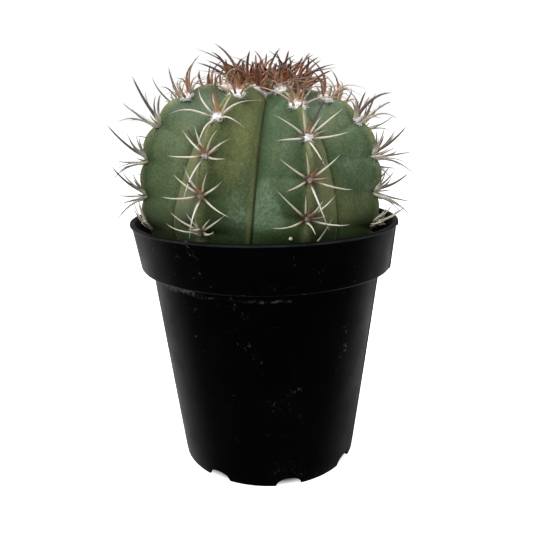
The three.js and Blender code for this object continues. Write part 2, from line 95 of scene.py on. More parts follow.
class Net:
    """Writes one node tree. Each call adds a node and gives back the wire that leaves it."""

    def __init__(self, tree):
        self.tree = tree

    def node(self, kind, inputs=(), **settings):
        made = self.tree.nodes.new(kind)
        for name, value in settings.items():
            setattr(made, name, value)
        sockets = [s for s in made.inputs if s.enabled]
        named = inputs.items() if isinstance(inputs, dict) else enumerate(inputs)
        for key, value in named:
            self.feed(self.found(sockets, key), value)
        return made

    def found(self, sockets, key):
        """The socket with this number or name."""
        return sockets[key] if isinstance(key, int) else next(s for s in sockets if s.name == key)

    def feed(self, socket, value):
        if isinstance(value, Wire):
            self.tree.links.new(value.socket, socket)
        elif value is not None:
            socket.default_value = value

    def out(self, kind, inputs=(), output=0, **settings):
        made = self.node(kind, inputs, **settings)
        return self.leaving(made, output)

    def leaving(self, made, output=0):
        return Wire(self, self.found([s for s in made.outputs if s.enabled], output))

    def combine(self, operation, a, b):
        if operation == "MULTIPLY" and is_vector(a) != is_vector(b):
            vector, factor = (a, b) if is_vector(a) else (b, a)
            return self.out("ShaderNodeVectorMath", (vector, factor), operation="SCALE")
        if is_vector(a) or is_vector(b):
            return self.out("ShaderNodeVectorMath", (a, b), operation=operation)
        return self.math(operation, a, b)

    def math(self, operation, *values):
        return self.out("ShaderNodeMath", values, operation=operation)

    def vector_math(self, operation, *values):
        return self.out("ShaderNodeVectorMath", values, operation=operation)

    def smooth(self, value, low, high, to_low=0.0, to_high=1.0, steps="SMOOTHSTEP"):
        values = (value, low, high, to_low, to_high)
        return self.out("ShaderNodeMapRange", values, interpolation_type=steps)

    def ramp(self, value, low, high, to_low=0.0, to_high=1.0):
        return self.smooth(value, low, high, to_low, to_high, steps="LINEAR")

    def mix(self, factor, a, b):
        return self.out("ShaderNodeMix", (factor, a, b), data_type="FLOAT")

    def blend(self, factor, a, b, mode="MIX"):
        return self.out("ShaderNodeMix", (factor, a, b), data_type="RGBA", blend_type=mode)

    def vector(self, x, y, z):
        return self.out("ShaderNodeCombineXYZ", (x, y, z))

    def parts(self, vector):
        made = self.node("ShaderNodeSeparateXYZ", (vector,))
        return [self.leaving(made, i) for i in range(3)]

    def turn(self, vector, matrix):
        rows = [self.vector_math("DOT_PRODUCT", vector, tuple(row)) for row in matrix]
        return self.vector(*rows)

    def heading(self, azimuth):
        """The x and y of one step away from the axis, at an azimuth in radians."""
        return self.math("SINE", azimuth), self.math("COSINE", azimuth) * -1

    def spot(self):
        """Where the shaded point lies."""
        return self.out("ShaderNodeTexCoord", output="Object")

    def grey(self, value):
        return self.out("ShaderNodeCombineColor", (value, value, value))

    def join(self, *shapes):
        made = self.node("GeometryNodeJoinGeometry")
        for shape in shapes:
            self.tree.links.new(shape.socket, made.inputs[0])
        return self.leaving(made)

    def noise(self, vector, scale, detail=2.0, roughness=0.5, output="Fac", distortion=0.0):
        values = {"Vector": vector, "Scale": scale, "Detail": detail, "Roughness": roughness,
                  "Distortion": distortion}
        return self.out("ShaderNodeTexNoise", values, output=output)

    def use(self, group, values=None, output=0):
        kind = "GeometryNodeGroup" if group.bl_idname == "GeometryNodeTree" else "ShaderNodeGroup"
        made = self.node(kind, values or {}, node_tree=group)
        return made if output is None else self.leaving(made, output)


SOCKET_KINDS = {"number": "NodeSocketFloat", "count": "NodeSocketInt", "vector": "NodeSocketVector",
                "colour": "NodeSocketColor", "shape": "NodeSocketGeometry",
                "material": "NodeSocketMaterial"}


class Group(Net):
    """A reusable tree with named inputs and outputs."""

    def __init__(self, kind, name, inputs, outputs):
        super().__init__(bpy.data.node_groups.new(name, kind))
        for label, (socket, value) in inputs.items():
            made = self.tree.interface.new_socket(
                label, in_out="INPUT", socket_type=SOCKET_KINDS[socket])
            if value is not None:
                made.default_value = value
        for label, socket in outputs.items():
            self.tree.interface.new_socket(label, in_out="OUTPUT", socket_type=SOCKET_KINDS[socket])
        self.source = self.tree.nodes.new("NodeGroupInput")
        self.sink = self.tree.nodes.new("NodeGroupOutput")

    def given(self, label):
        return Wire(self, self.source.outputs[label])

    def give(self, label, wire):
        self.tree.links.new(wire.socket, self.sink.inputs[label])


def geometry_group(name, inputs, outputs):
    return Group("GeometryNodeTree", name, inputs, outputs)


def shader_group(name, inputs, outputs):
    return Group("ShaderNodeTree", name, inputs, outputs)


print("node helpers ready")

# %% [markdown]
# ## From a tree to a plain mesh
#
# A Geometry Nodes result lives only in the evaluated scene. Each piece is therefore evaluated
# once, copied into a plain mesh and freed of its modifier, so that anything can read it.

# %% Evaluating a tree once
MM = 0.001  # the trees and tables below work in millimetres


def finished(net, shape, material):
    """The end of a tree: real geometry, in metres, that wears a material."""
    real = net.out("GeometryNodeRealizeInstances", {"Geometry": shape})
    sized = net.out("GeometryNodeTransform", {"Geometry": real, "Scale": (MM, MM, MM)})
    return net.out("GeometryNodeSetMaterial", {"Geometry": sized, "Material": material})


def made_by(group, name, values=None, host=None):
    """An object whose plain mesh is what a geometry tree makes with these input values."""
    piece = bpy.data.objects.new(name, host or bpy.data.meshes.new(name))
    bpy.context.scene.collection.objects.link(piece)
    modifier = piece.modifiers.new(group.tree.name, "NODES")
    modifier.node_group = group.tree
    labels = {i.name: i.identifier for i in group.tree.interface.items_tree if i.in_out == "INPUT"}
    for label, value in (values or {}).items():
        modifier[labels[label]] = value
    depsgraph = bpy.context.evaluated_depsgraph_get()
    evaluated = piece.evaluated_get(depsgraph)
    mesh = bpy.data.meshes.new_from_object(evaluated, preserve_all_data_layers=True,
                                           depsgraph=depsgraph)
    piece.modifiers.clear()
    piece.data = mesh
    mesh.name = name
    print(name, "has", sum(len(p.vertices) - 2 for p in mesh.polygons), "triangles")
    return piece


def point_mesh(name, places, numbers):
    """Loose points, each with its own numbers (floats or vectors) as attributes."""
    mesh = bpy.data.meshes.new(name)
    mesh.from_pydata([tuple(p) for p in places], [], [])
    for label, values in numbers.items():
        is_flat = np.ndim(values) == 1
        kind = "FLOAT" if is_flat else "FLOAT_VECTOR"
        data = mesh.attributes.new(label, kind, "POINT").data
        data.foreach_set("value" if is_flat else "vector", np.asarray(values, np.float32).ravel())
    return mesh


def values_of(mesh, label):
    data = mesh.attributes[label].data
    is_flat = mesh.attributes[label].data_type == "FLOAT"
    found = np.zeros(len(data) * (1 if is_flat else 3), np.float32)
    data.foreach_get("value" if is_flat else "vector", found)
    return found if is_flat else found.reshape(-1, 3)


def dress(piece, nodes):
    """The finished piece stands for these nodes of the frame and rides on its only body."""
    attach(piece, "root")
    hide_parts(*nodes)


def outward(azimuth):
    """Away from the pot's axis, at an azimuth in degrees from the front towards the right."""
    angle = math.radians(azimuth)
    return Vector((math.sin(angle), -math.cos(angle), 0))


def smoothstep(value, low, high):
    share = min(max((value - low) / (high - low), 0), 1)
    return share * share * (3 - 2 * share)


# %% [markdown]
# ## Camera, light and floor
#
# The photo looks slightly down on the front, from close by, with a white surround and soft light
# from above. Area lights give that softness, and a pale world fills the shadows.

# %% Camera
PICTURE = 533  # pixels along each side of the photograph
FOCAL_PIXELS = 564.4
SENSOR = 36
CAMERA_TARGET = Vector((0, 0, 80 * MM))
CAMERA_DISTANCE = 230 * MM
CAMERA_ELEVATION = math.radians(14.08)
CAMERA_ROLL = math.radians(-0.915)
RISE_PIXELS = 6.54  # how far the picture's centre sits below the target

camera_data = bpy.data.cameras.new("camera")
camera = bpy.data.objects.new("camera", camera_data)
bpy.context.scene.collection.objects.link(camera)
bpy.context.scene.camera = camera
camera_data.sensor_width = SENSOR
camera_data.lens = FOCAL_PIXELS / PICTURE * SENSOR
camera_data.shift_y = -RISE_PIXELS / PICTURE
camera_data.clip_start = 0.01
camera_data.dof.use_dof = False
view_from = Vector((0, -math.cos(CAMERA_ELEVATION), math.sin(CAMERA_ELEVATION)))
camera.location = CAMERA_TARGET + CAMERA_DISTANCE * view_from
facing = (-view_from).to_track_quat("-Z", "Y").to_matrix() @ Matrix.Rotation(CAMERA_ROLL, 3, "Z")
camera.rotation_euler = facing.to_euler()
print("lens", round(camera_data.lens, 2), "mm")

# %% Light
bpy.context.scene.view_settings.view_transform = "Standard"

LIGHTS = {
    # name: (place, size, watts)
    "overhead": ((-0.08, -0.18, 0.62), 0.40, 3.5),
    "front_left": ((-0.42, -0.50, 0.52), 0.36, 1.15),
    "left_side": ((-0.55, 0.20, 0.20), 0.30, 0.4),
    "right_side": ((0.50, -0.30, 0.36), 0.30, 0.5),
}


def soft_light(name, place, size, watts):
    data = bpy.data.lights.new(name, "AREA")
    data.shape = "DISK"
    data.size = size
    data.energy = watts
    light = bpy.data.objects.new(name, data)
    light.location = place
    light.rotation_euler = (CAMERA_TARGET - light.location).to_track_quat("-Z", "Y").to_euler()
    bpy.context.scene.collection.objects.link(light)


for name, (place, size, watts) in LIGHTS.items():
    soft_light(name, place, size, watts)

world = bpy.data.worlds.new("pale studio")
bpy.context.scene.world = world
world.use_nodes = True
air = Net(world.node_tree)
world.node_tree.nodes.clear()
SURROUND = (1.0, 1.0, 1.0, 1)
FILL = 0.28
seen = air.node("ShaderNodeBackground", (SURROUND, 1.0))
filling = air.node("ShaderNodeBackground", (SURROUND, FILL))
by_ray = air.node("ShaderNodeMixShader", (air.out("ShaderNodeLightPath", output="Is Camera Ray"),))
world.node_tree.links.new(filling.outputs[0], by_ray.inputs[1])
world.node_tree.links.new(seen.outputs[0], by_ray.inputs[2])
sky = world.node_tree.nodes.new("ShaderNodeOutputWorld")
world.node_tree.links.new(by_ray.outputs[0], sky.inputs[0])
print(len(LIGHTS), "lights")

# %% Floor
FLOOR_RADIUS = 40.0
FLOOR_WHITE = (0.80, 0.80, 0.80, 1)
FLOOR_GLOW = 1.1  # seen by the camera only, so that the paper is as white as the surround


def new_material(name):
    material = bpy.data.materials.new(name)
    material.use_nodes = True
    net = Net(material.node_tree)
    return material, net, material.node_tree.nodes["Principled BSDF"]


def fill_in(net, shader, values):
    """Feeds a shader's inputs, each with a wire or with one value for the whole surface."""
    for label, value in values.items():
        net.feed(shader.inputs[label], value)


def bumped(net, height, strength, distance):
    """The normal of a surface that a height of 1 raises by this distance, in millimetres."""
    return net.out("ShaderNodeBump", {
        "Strength": strength, "Distance": distance * MM, "Height": height})


floor_finish, net, shader = new_material("pale floor")
by_camera = net.out("ShaderNodeLightPath", output="Is Camera Ray")
UNDER_POT = (31 * MM, 37 * MM)  # inside the foot ring the paper lies in the pot's shade
open_floor = net.smooth(net.vector_math("LENGTH", net.spot()), *UNDER_POT)
fill_in(net, shader, {
    "Base Color": FLOOR_WHITE, "Roughness": 0.9, "Specular IOR Level": 0.0,
    "Emission Color": SURROUND, "Emission Strength": by_camera * open_floor * FLOOR_GLOW})
FLOOR_SIDES = 72
ring = [tuple(outward(i * 360 / FLOOR_SIDES) * FLOOR_RADIUS) for i in range(FLOOR_SIDES)]
floor_mesh = bpy.data.meshes.new("floor")
floor_mesh.from_pydata(ring, [], [list(range(FLOOR_SIDES))])
floor_mesh.materials.append(floor_finish)
floor = bpy.data.objects.new("floor", floor_mesh)
bpy.context.scene.collection.objects.link(floor)
print("floor normal", tuple(floor_mesh.polygons[0].normal))

# %% [markdown]
# ## Effects that several finishes share
#
# Fine grain is on every piece, patches of another tone on most, and settled dust on the pot and
# the skin. Each is one node group with its own sizes as inputs, placed in every finish that needs it.

# %% Patches
patches = shader_group("patches", {
    "Scale": ("number", 60.0), "Detail": ("number", 3.0),
    "From": ("number", 0.4), "To": ("number", 0.6),
}, {"Mask": "number"})
spot = patches.spot()
cloud = patches.noise(spot, patches.given("Scale"), patches.given("Detail"), 0.55)
patches.give("Mask", patches.smooth(cloud, patches.given("From"), patches.given("To")))
print("effect:", patches.tree.name)

# %% Grain
grain = shader_group("grain", {
    "Scale": ("number", 1500.0), "Coarseness": ("number", 0.5),
}, {"Height": "number"})
spot = grain.spot()
fine = grain.noise(spot, grain.given("Scale"), 3.0, 0.6)
broad = grain.noise(spot, grain.given("Scale") * 0.22, 2.0, 0.5)
grain.give("Height", grain.mix(grain.given("Coarseness"), fine, broad))
print("effect:", grain.tree.name)

# %% Dust and specks
dust = shader_group("dust", {
    "Speck scale": ("number", 700.0), "Rarity": ("number", 0.68), "Clump scale": ("number", 60.0),
    "Film": ("number", 0.3),
}, {"Specks": "number", "Film": "number"})
spot = dust.spot()
clumps = dust.smooth(dust.noise(spot, dust.given("Clump scale"), 4.0, 0.7), 0.50, 0.68)
gritty = dust.noise(spot, dust.given("Speck scale"), 5.0, 0.8)
rare = dust.given("Rarity")
dust.give("Specks", dust.smooth(gritty + clumps * 0.10, rare, rare + 0.07) * clumps)
settled = dust.smooth(dust.noise(spot, 45.0, 4.0, 0.65), 0.42, 0.8)
dust.give("Film", settled * dust.given("Film"))
print("effect:", dust.tree.name)

# %% [markdown]
# ## The pot
#
# A nursery pot is injection moulded: one thin wall, a band that stiffens the rim, and a foot
# ring with notches that let water out. It is turned from one outline with small rounded corners,
# and the notches and drain holes are cut through by a boolean in Geometry Nodes, because the
# mould also forms them as clean cuts. Two fine vertical ridges show where the mould parts.

# %% Sizes of the pot
POT_HEIGHT = 98
WALL = 1.2
FOOT_RADIUS = 35.9
SHOULDER_RADIUS = 45.45
SHOULDER_HEIGHT = 80
BAND_RADIUS = 49.5
BAND_TOP_RADIUS = 51.95
LIP_RADIUS = 52.5
LIP_HEIGHT = 1.1
FLOOR_UNDER = 3.8
FLOOR_THICKNESS = 1.4
FOOT_EXTRA = 0.4
SCALLOPS = 8
SCALLOP_WIDTH = 10
SCALLOP_HEIGHT = 3.4
FIRST_SCALLOP = 11.6
DRAINS = 4
DRAIN_RADIUS = 3.5
DRAIN_CIRCLE = 22
PARTING_LINES = (70, 250)  # azimuths
RIDGE_HEIGHT = 0.3
RIDGE_HALF_WIDTH = 0.3  # degrees
BROAD_WAVE = 0.16  # how far the wall strays at the lip, in three waves round the pot
FINE_WAVE = 0.08  # and all the way up, in five
RIM_BEND = -0.6  # how far the thin rim is pushed sideways
RIM_BENDS = (86, 98)  # heights between which it bends


def cone_radius(z):
    return FOOT_RADIUS + (SHOULDER_RADIUS - FOOT_RADIUS) * z / SHOULDER_HEIGHT


def band_radius(z):
    share = (z - SHOULDER_HEIGHT) / (POT_HEIGHT - SHOULDER_HEIGHT)
    return BAND_RADIUS + (BAND_TOP_RADIUS - BAND_RADIUS) * share


def inner_radius(z):
    return (band_radius(z) if z > SHOULDER_HEIGHT + WALL else cone_radius(z)) - WALL


# %% The pot's outline
def rounded(corners, steps=4):
    """The outline through corners (r, z, rounding), each turned into an arc."""
    points = []
    for i, (r, z, rounding) in enumerate(corners):
        corner = Vector((r, z))
        if not rounding:
            points.append(corner)
            continue
        back = (Vector(corners[i - 1][:2]) - corner).normalized()
        ahead = (Vector(corners[(i + 1) % len(corners)][:2]) - corner).normalized()
        half = back.angle(ahead) / 2
        middle = corner + (back + ahead).normalized() * rounding / math.sin(half)
        start = corner + back * rounding / math.tan(half)
        end = corner + ahead * rounding / math.tan(half)
        for step in range(steps + 1):
            chord = start.lerp(end, step / steps)
            points.append(middle + (chord - middle).normalized() * rounding)
    return points


floor_top = FLOOR_UNDER + FLOOR_THICKNESS
lip_under = POT_HEIGHT - LIP_HEIGHT
OUTSIDE_STEPS = 24  # rows up the plain cone, for a smooth wobble
PLAIN_CONE = (6, SHOULDER_HEIGHT - 3)  # the heights of the lowest and the highest
cone_rows = [(cone_radius(z), z, 0) for z in np.linspace(*PLAIN_CONE, OUTSIDE_STEPS)]
outline = rounded([
    (0, FLOOR_UNDER, 0),
    (cone_radius(FLOOR_UNDER) - WALL - FOOT_EXTRA, FLOOR_UNDER, 0.9),
    (FOOT_RADIUS - WALL - FOOT_EXTRA, 0, 0.45),
    (FOOT_RADIUS, 0, 0.7),
    *cone_rows,
    (SHOULDER_RADIUS, SHOULDER_HEIGHT, 0.5),
    (BAND_RADIUS, SHOULDER_HEIGHT, 1.1),
    (band_radius(lip_under), lip_under, 0.2),
    (LIP_RADIUS, lip_under + 0.1, 0.3),
    (LIP_RADIUS, POT_HEIGHT, 0.45),
    (band_radius(POT_HEIGHT) - WALL, POT_HEIGHT, 0.5),
    (band_radius(SHOULDER_HEIGHT + WALL) - WALL, SHOULDER_HEIGHT + WALL, 0.6),
    (cone_radius(SHOULDER_HEIGHT) - WALL, SHOULDER_HEIGHT + WALL, 0.5),
    (cone_radius(floor_top) - WALL, floor_top, 0.9),
    (0, floor_top, 0),
])
print("outline of", len(outline), "points")

# %% Turning it round the axis
COLUMNS = 192


def wall_shift(azimuth, z):
    """The thin wall is never quite round: a slow wobble, and a ridge at each parting line."""
    angle = math.radians(azimuth)
    height = z / POT_HEIGHT
    wobble = (BROAD_WAVE * height * math.sin(3 * angle + 0.7)
              + FINE_WAVE * math.sin(5 * angle + 4 * height))
    wobble += RIM_BEND * smoothstep(z, *RIM_BENDS) * math.sin(angle)
    ridge = sum(math.exp(-((azimuth - line) / RIDGE_HALF_WIDTH) ** 2) for line in PARTING_LINES)
    return wobble, RIDGE_HEIGHT * ridge


def turned(points, columns, shift=None, outside=()):
    """A closed skin: the outline's points at each azimuth, with one shared point on the axis."""
    places, faces = [], []
    inner = points[1:-1]
    count = len(inner)
    for azimuth in columns:
        for i, point in enumerate(inner):
            wobble, ridge = shift(azimuth, point.y) if shift else (0, 0)
            r = point.x + wobble + (ridge if i in outside else 0)
            places.append(outward(azimuth) * r + Vector((0, 0, point.y)))
    low, high = len(places), len(places) + 1
    places += [Vector((0, 0, points[0].y)), Vector((0, 0, points[-1].y))]
    for j in range(len(columns)):
        here, there = j * count, (j + 1) % len(columns) * count
        faces.append((low, there, here))
        faces.append((here + count - 1, there + count - 1, high))
        for i in range(count - 1):
            faces.append((here + i, there + i, there + i + 1, here + i + 1))
    mesh = bpy.data.meshes.new("turned")
    mesh.from_pydata([tuple(p) for p in places], [], faces)
    return mesh


def is_outside(point):
    """Whether a point of the outline lies on the outer wall, above the foot's rounding."""
    return point.y > 1 and point.x >= cone_radius(min(point.y, SHOULDER_HEIGHT)) - 0.05


RIDGE_COLUMNS = (-1.1, -0.55, -0.28, 0, 0.28, 0.55, 1.1)  # degrees from a parting line
RIDGE_ROOM = 1.3  # no plain column stands closer to it
plain_columns = [i * 360 / COLUMNS for i in range(COLUMNS)]
ridge_columns = [line + step for line in PARTING_LINES for step in RIDGE_COLUMNS]
far_enough = [a for a in plain_columns
              if all(abs(a - line) > RIDGE_ROOM for line in PARTING_LINES)]
pot_columns = sorted(far_enough + ridge_columns)
on_outside = {i for i, point in enumerate(outline[1:-1]) if is_outside(point)}
pot_blank = turned(outline, pot_columns, wall_shift, on_outside)
print("the pot's blank has", len(pot_blank.vertices), "points")

# %% The tree that cuts notches and drains
pot_tree = geometry_group("cut the foot", {
    "Pot": ("shape", None), "Notches": ("count", SCALLOPS), "Notch width": ("number", SCALLOP_WIDTH),
    "Notch height": ("number", SCALLOP_HEIGHT), "First notch": ("number", FIRST_SCALLOP),
    "Drains": ("count", DRAINS), "Drain radius": ("number", DRAIN_RADIUS),
    "Drain circle": ("number", DRAIN_CIRCLE), "Material": ("material", None),
}, {"Pot": "shape"})


def ring_of(net, count, radius, first):
    """Points on a circle round the axis, with the azimuth that each stands at, in radians."""
    line = net.out("GeometryNodeMeshLine", {"Count": count}, mode="OFFSET")
    index = net.out("GeometryNodeInputIndex")
    angle = index / count * math.tau + first
    place = net.vector(*net.heading(angle), 0.0) * radius
    return net.out("GeometryNodeSetPosition", {"Geometry": line, "Position": place}), angle


NOTCH_REACH = 12.0
given = pot_tree.given
first = given("First notch") * math.radians(1)
notch_points, notch_angle = ring_of(pot_tree, given("Notches"), FOOT_RADIUS, first)
rod = pot_tree.out("GeometryNodeMeshCylinder", {
    "Vertices": 48, "Side Segments": 1, "Radius": 1.0, "Depth": NOTCH_REACH}, fill_type="NGON")
lying = pot_tree.out("GeometryNodeTransform", {
    "Geometry": rod, "Rotation": (math.pi / 2, 0.0, 0.0)})
shaped = pot_tree.out("GeometryNodeTransform", {
    "Geometry": lying,
    "Scale": pot_tree.vector(given("Notch width") * 0.5, 1.0, given("Notch height"))})
notches = pot_tree.out("GeometryNodeInstanceOnPoints", {
    "Points": notch_points, "Instance": shaped, "Rotation": pot_tree.vector(0.0, 0.0, notch_angle)})
drain_points, _ = ring_of(pot_tree, given("Drains"), given("Drain circle"), 0.0)
drain_rod = pot_tree.out("GeometryNodeMeshCylinder", {
    "Vertices": 32, "Side Segments": 1, "Radius": given("Drain radius"),
    "Depth": 6 * FLOOR_THICKNESS}, fill_type="NGON")
drains = pot_tree.out("GeometryNodeInstanceOnPoints", {
    "Points": drain_points, "Instance": pot_tree.out("GeometryNodeTransform", {
        "Geometry": drain_rod, "Translation": (0.0, 0.0, FLOOR_UNDER + FLOOR_THICKNESS / 2)})})
both = pot_tree.join(notches, drains)
cutters = pot_tree.out("GeometryNodeRealizeInstances", {"Geometry": both})
cut = pot_tree.out("GeometryNodeMeshBoolean", {"Mesh 1": given("Pot"), "Mesh 2": cutters},
                   operation="DIFFERENCE", solver="EXACT")
pot_tree.give("Pot", finished(pot_tree, cut, given("Material")))
print("tree:", pot_tree.tree.name)

# %% [markdown]
# ### Black plastic
#
# The plastic is nearly black all through, with a satin skin that only shows at the edges. What
# makes it a used pot is what lies on it: specks of dust, wipe marks, and a broken white line of
# dried minerals where water has run down from under the band.

# %% Finish: black plastic
plastic, net, shader = new_material("black plastic")
BLACK = (0.0002, 0.0002, 0.0003, 1)
GREY_DUST = (0.030, 0.030, 0.030, 1)
MINERAL = (0.16, 0.16, 0.16, 1)
# A painted highlight, lighter than the black, for the lip's edge where light from above catches it.
LIP_HIGHLIGHT = (0.020, 0.023, 0.022, 1)
MIDDLE_RADIUS = 45  # of the wall, to draw marks that run round it
TIDE_HEIGHT = 76.8  # where the mineral line dried
CORNER_HEIGHT = 79.5  # just under the band's shoulder
TIDE_BELOW = (80.3, 79.9)  # the line fades out between these
OUTER_WALL = 44.0  # radius past which the wall's outside lies, at those heights
CRUST_AZIMUTH = -50  # where the line is thickest
CRUST_BEGINS = (76.6, 78.4)  # and between which heights it starts there
FRONT_AZIMUTH = -0.3  # in radians, the middle of the side that the line is on
EDGE_FROM, EDGE_TO = (96.9, 97.2), (97.95, 97.6)  # the lip's painted highlight fades in and out between these heights
x, y, z = net.parts(net.spot())
azimuth = net.math("ARCTAN2", x, y * -1)
round_place = net.vector(azimuth * MIDDLE_RADIUS * MM, 0.0, z)


def between_heights(net, z, heights):
    return net.smooth(z, heights[0] * MM, heights[1] * MM)


def line_at(net, z, height, half_width):
    """1 on a level line round the pot, 0 further from it than its half width."""
    return 1 - net.smooth(net.math("ABSOLUTE", z - height * MM), 0.1 * MM, half_width * MM)


CLEANER_FOOT = (14 * MM, 40 * MM)  # heights between which the specks grow to their full number
dusty = net.use(dust.tree, {"Speck scale": 560.0, "Rarity": 0.645, "Clump scale": 80.0,
                            "Film": 0.5}, output=None)
specks = net.leaving(dusty, "Specks") * net.smooth(z, *CLEANER_FOOT, 0.25, 1.0)
film = net.leaving(dusty, "Film")

wipe_place = net.vector_math("MULTIPLY", round_place, (1.0, 1.0, 0.28))
wipes = net.smooth(net.noise(wipe_place, 420.0, 5.0, 0.7), 0.56, 0.74)
wipe_area = net.use(patches.tree, {"Scale": 38.0, "Detail": 2.0, "From": 0.5, "To": 0.68})
scuffs = wipes * wipe_area

wander = (net.noise(round_place, 38.0, 4.0, 0.6) - 0.5) * (9 * MM)
crumbly = net.smooth(net.noise(round_place, 800.0, 4.0, 0.7), 0.42, 0.62)
broken = net.use(patches.tree, {"Scale": 45.0, "Detail": 4.0, "From": 0.44, "To": 0.60})
tide_line = line_at(net, z + wander, TIDE_HEIGHT, 0.8)
corner_line = line_at(net, z, CORNER_HEIGHT, 0.7)
left_crust = net.smooth(net.math("COSINE", azimuth - math.radians(CRUST_AZIMUTH)), 0.93, 0.99)
thick_crust = between_heights(net, z + wander * 0.5, CRUST_BEGINS) * left_crust
outside = net.math("GREATER_THAN", x * x + y * y, (OUTER_WALL * MM) ** 2)
outside = outside * between_heights(net, z, TIDE_BELOW)
front = net.smooth(net.math("COSINE", azimuth - FRONT_AZIMUTH), -0.4, 0.7, 0.15, 1.0)
dried = tide_line * crumbly * broken * 0.5 + thick_crust * crumbly
dried = dried + corner_line * net.smooth(crumbly, 0.0, 0.6, 0.45, 1.0) * 0.8
crust = net.math("MINIMUM", dried, 1.0) * front * outside

tinted = net.blend(film * 0.06, BLACK, GREY_DUST)
tinted = net.blend(scuffs * 0.22, tinted, GREY_DUST)
tinted = net.blend(specks * 0.4, tinted, MINERAL)
tinted = net.blend(crust, tinted, MINERAL)
# Painted highlight: a patchy lighter band along the lip's edge, where light from above catches it.
lip_highlight_band = between_heights(net, z, EDGE_FROM) * between_heights(net, z, EDGE_TO)
highlight_patches = net.use(patches.tree, {"Scale": 90.0, "Detail": 4.0, "From": 0.3, "To": 0.6})
tinted = net.blend(lip_highlight_band * (highlight_patches * 0.7 + 0.3), tinted, LIP_HIGHLIGHT)
worn = net.use(patches.tree, {"Scale": 110.0, "Detail": 4.0, "From": 0.3, "To": 0.7})
matt = net.math("MINIMUM", worn * 0.1 + 0.36 + film * 0.15 + specks * 0.4 + crust * 0.5, 1.0)
turned_away = net.out("ShaderNodeLayerWeight", {"Blend": 0.5}, output="Facing")
pebbled = net.use(grain.tree, {"Scale": 2200.0, "Coarseness": 0.35})
raised = pebbled * 0.25 + crust * 1.6 + specks * 1.2
fill_in(net, shader, {
    "Base Color": tinted, "Roughness": matt,
    "Specular IOR Level": net.smooth(turned_away, 0.35, 0.9, 0.009, 0.09),
    "Sheen Weight": 0.04, "Sheen Roughness": 0.25, "Normal": bumped(net, raised, 0.35, 0.1)})
print("finish:", plastic.name)

# %% Make the pot
pot = made_by(pot_tree, "nursery_pot", {"Material": plastic}, host=pot_blank)
pot.data.shade_smooth()
pot.data.set_sharp_from_angle(angle=math.radians(32))
dress(pot, ["pot"])

# %% [markdown]
# ## The stem
#
# Eight ribs share one round body. Their crests swell between the areoles and pinch in at each
# one, the flanks bulge gently and meet in a narrow groove, and the crown sinks into a dimple.
# Modelling that by hand would never give the same plant twice, so the whole skin is one formula
# in Geometry Nodes: a flat grid whose columns are places across a rib and whose rows are lengths
# along it. Areoles are found with the same formula, so they always sit on the skin.

# %% Sizes of the stem
RIBS = 8
FIRST_RIB = 19.2
RIB_PITCH = 360 / RIBS
STEM_RADIUS = 44.8
STEM_MIDDLE = 110.5
STEM_RISE = 36.6
STEM_DROP = 32.9
FULLNESS = 2.7
GROOVE_DEPTH_LOW = 2.2
GROOVE_DEPTH_HIGH = 10
GROOVE_DEPTH_TOP = 6.5
GROOVE_DEEPENS = (-16, 20)  # lengths up the crest between which the groove deepens
GROOVE_EASES = (28, 48)  # and between which it grows shallower again
GROOVE_MODEL = 6.2  # the depth that the cross-section is drawn with before it is scaled
FLANK_BULGE = 1.0
BULGE_SKEW = 1.4
HUMP = 2.4
HUMP_ROUNDNESS = 0.7
HUMP_NARROWING = 2.0
DIMPLE_DEPTH = 4
DIMPLE_RADIUS = 15
GROOVES_END = 7.8
GROOVES_FULL = 22
ROOT_LENGTH = 36
ROOT_RADIUS = 7.5
ROOT_TAPER = 0.6
ROOT_FROM = -57  # arc length where the underside turns into the taproot
LEAN_RIGHT = 5
LEAN_FORWARD = 3.1
LEAN_PIVOT = 95
PLANT_SHIFT = -2.6
AREOLE_STARTS = [-2.7, 2.1, -4.2, 1.2, -5.1, 3.2, -2.4, 4.0]
AREOLE_SPACING = 12.4
AREOLE_STRETCH = 0.35
LOWEST_AREOLE = -19
HIGHEST_AREOLE = 49
INNERMOST_AREOLE = 60  # those above the highest belong to the crown
AREOLE_NUMBERS = range(-3, 6)
CREST_ROUNDING = 0.045  # share of a flank over which the crest is rounded
CREASE_DEPTH = 1.5
CREASE_WIDTH = 0.045
UNEVENNESS = 1.1

lean = (Matrix.Rotation(math.radians(LEAN_RIGHT), 3, "Y")
        @ Matrix.Rotation(math.radians(LEAN_FORWARD), 3, "X"))
pivot = Vector((0, 0, LEAN_PIVOT))
pivot_shift = Vector((PLANT_SHIFT, 0, LEAN_PIVOT))


def leaning(point):
    return lean @ (Vector(point) - pivot) + pivot_shift


# %% The crest line as a curve
CREST_SAMPLES = 1500

crest_tree = geometry_group("crest line", {}, {"Curve": "shape"})
line = crest_tree.out("GeometryNodeMeshLine", {"Count": CREST_SAMPLES + 1}, mode="OFFSET")
angle = crest_tree.out("GeometryNodeInputIndex") / CREST_SAMPLES * math.pi - math.pi / 2
across = crest_tree.math("ABSOLUTE", crest_tree.math("COSINE", angle)) ** (2 / FULLNESS)
upward = crest_tree.math("ABSOLUTE", crest_tree.math("SINE", angle)) ** (2 / FULLNESS)
above = crest_tree.math("GREATER_THAN", angle, 0.0)
height = upward * (above * (STEM_RISE + STEM_DROP) - STEM_DROP) + STEM_MIDDLE
bent = crest_tree.out("GeometryNodeSetPosition", {
    "Geometry": line, "Position": crest_tree.vector(across * STEM_RADIUS, 0.0, height)})
crest_tree.give("Curve", crest_tree.out("GeometryNodeMeshToCurve", {"Mesh": bent}))


def crest_lengths():
    """Length of the crest line below and above the widest level."""
    angles = np.linspace(-math.pi / 2, math.pi / 2, CREST_SAMPLES + 1)
    r = STEM_RADIUS * np.abs(np.cos(angles)) ** (2 / FULLNESS)
    rise = np.where(angles > 0, STEM_RISE, -STEM_DROP) * np.abs(np.sin(angles)) ** (2 / FULLNESS)
    steps = np.hypot(np.diff(r), np.diff(rise))
    half = CREST_SAMPLES // 2
    return steps[:half].sum(), steps[half:].sum()


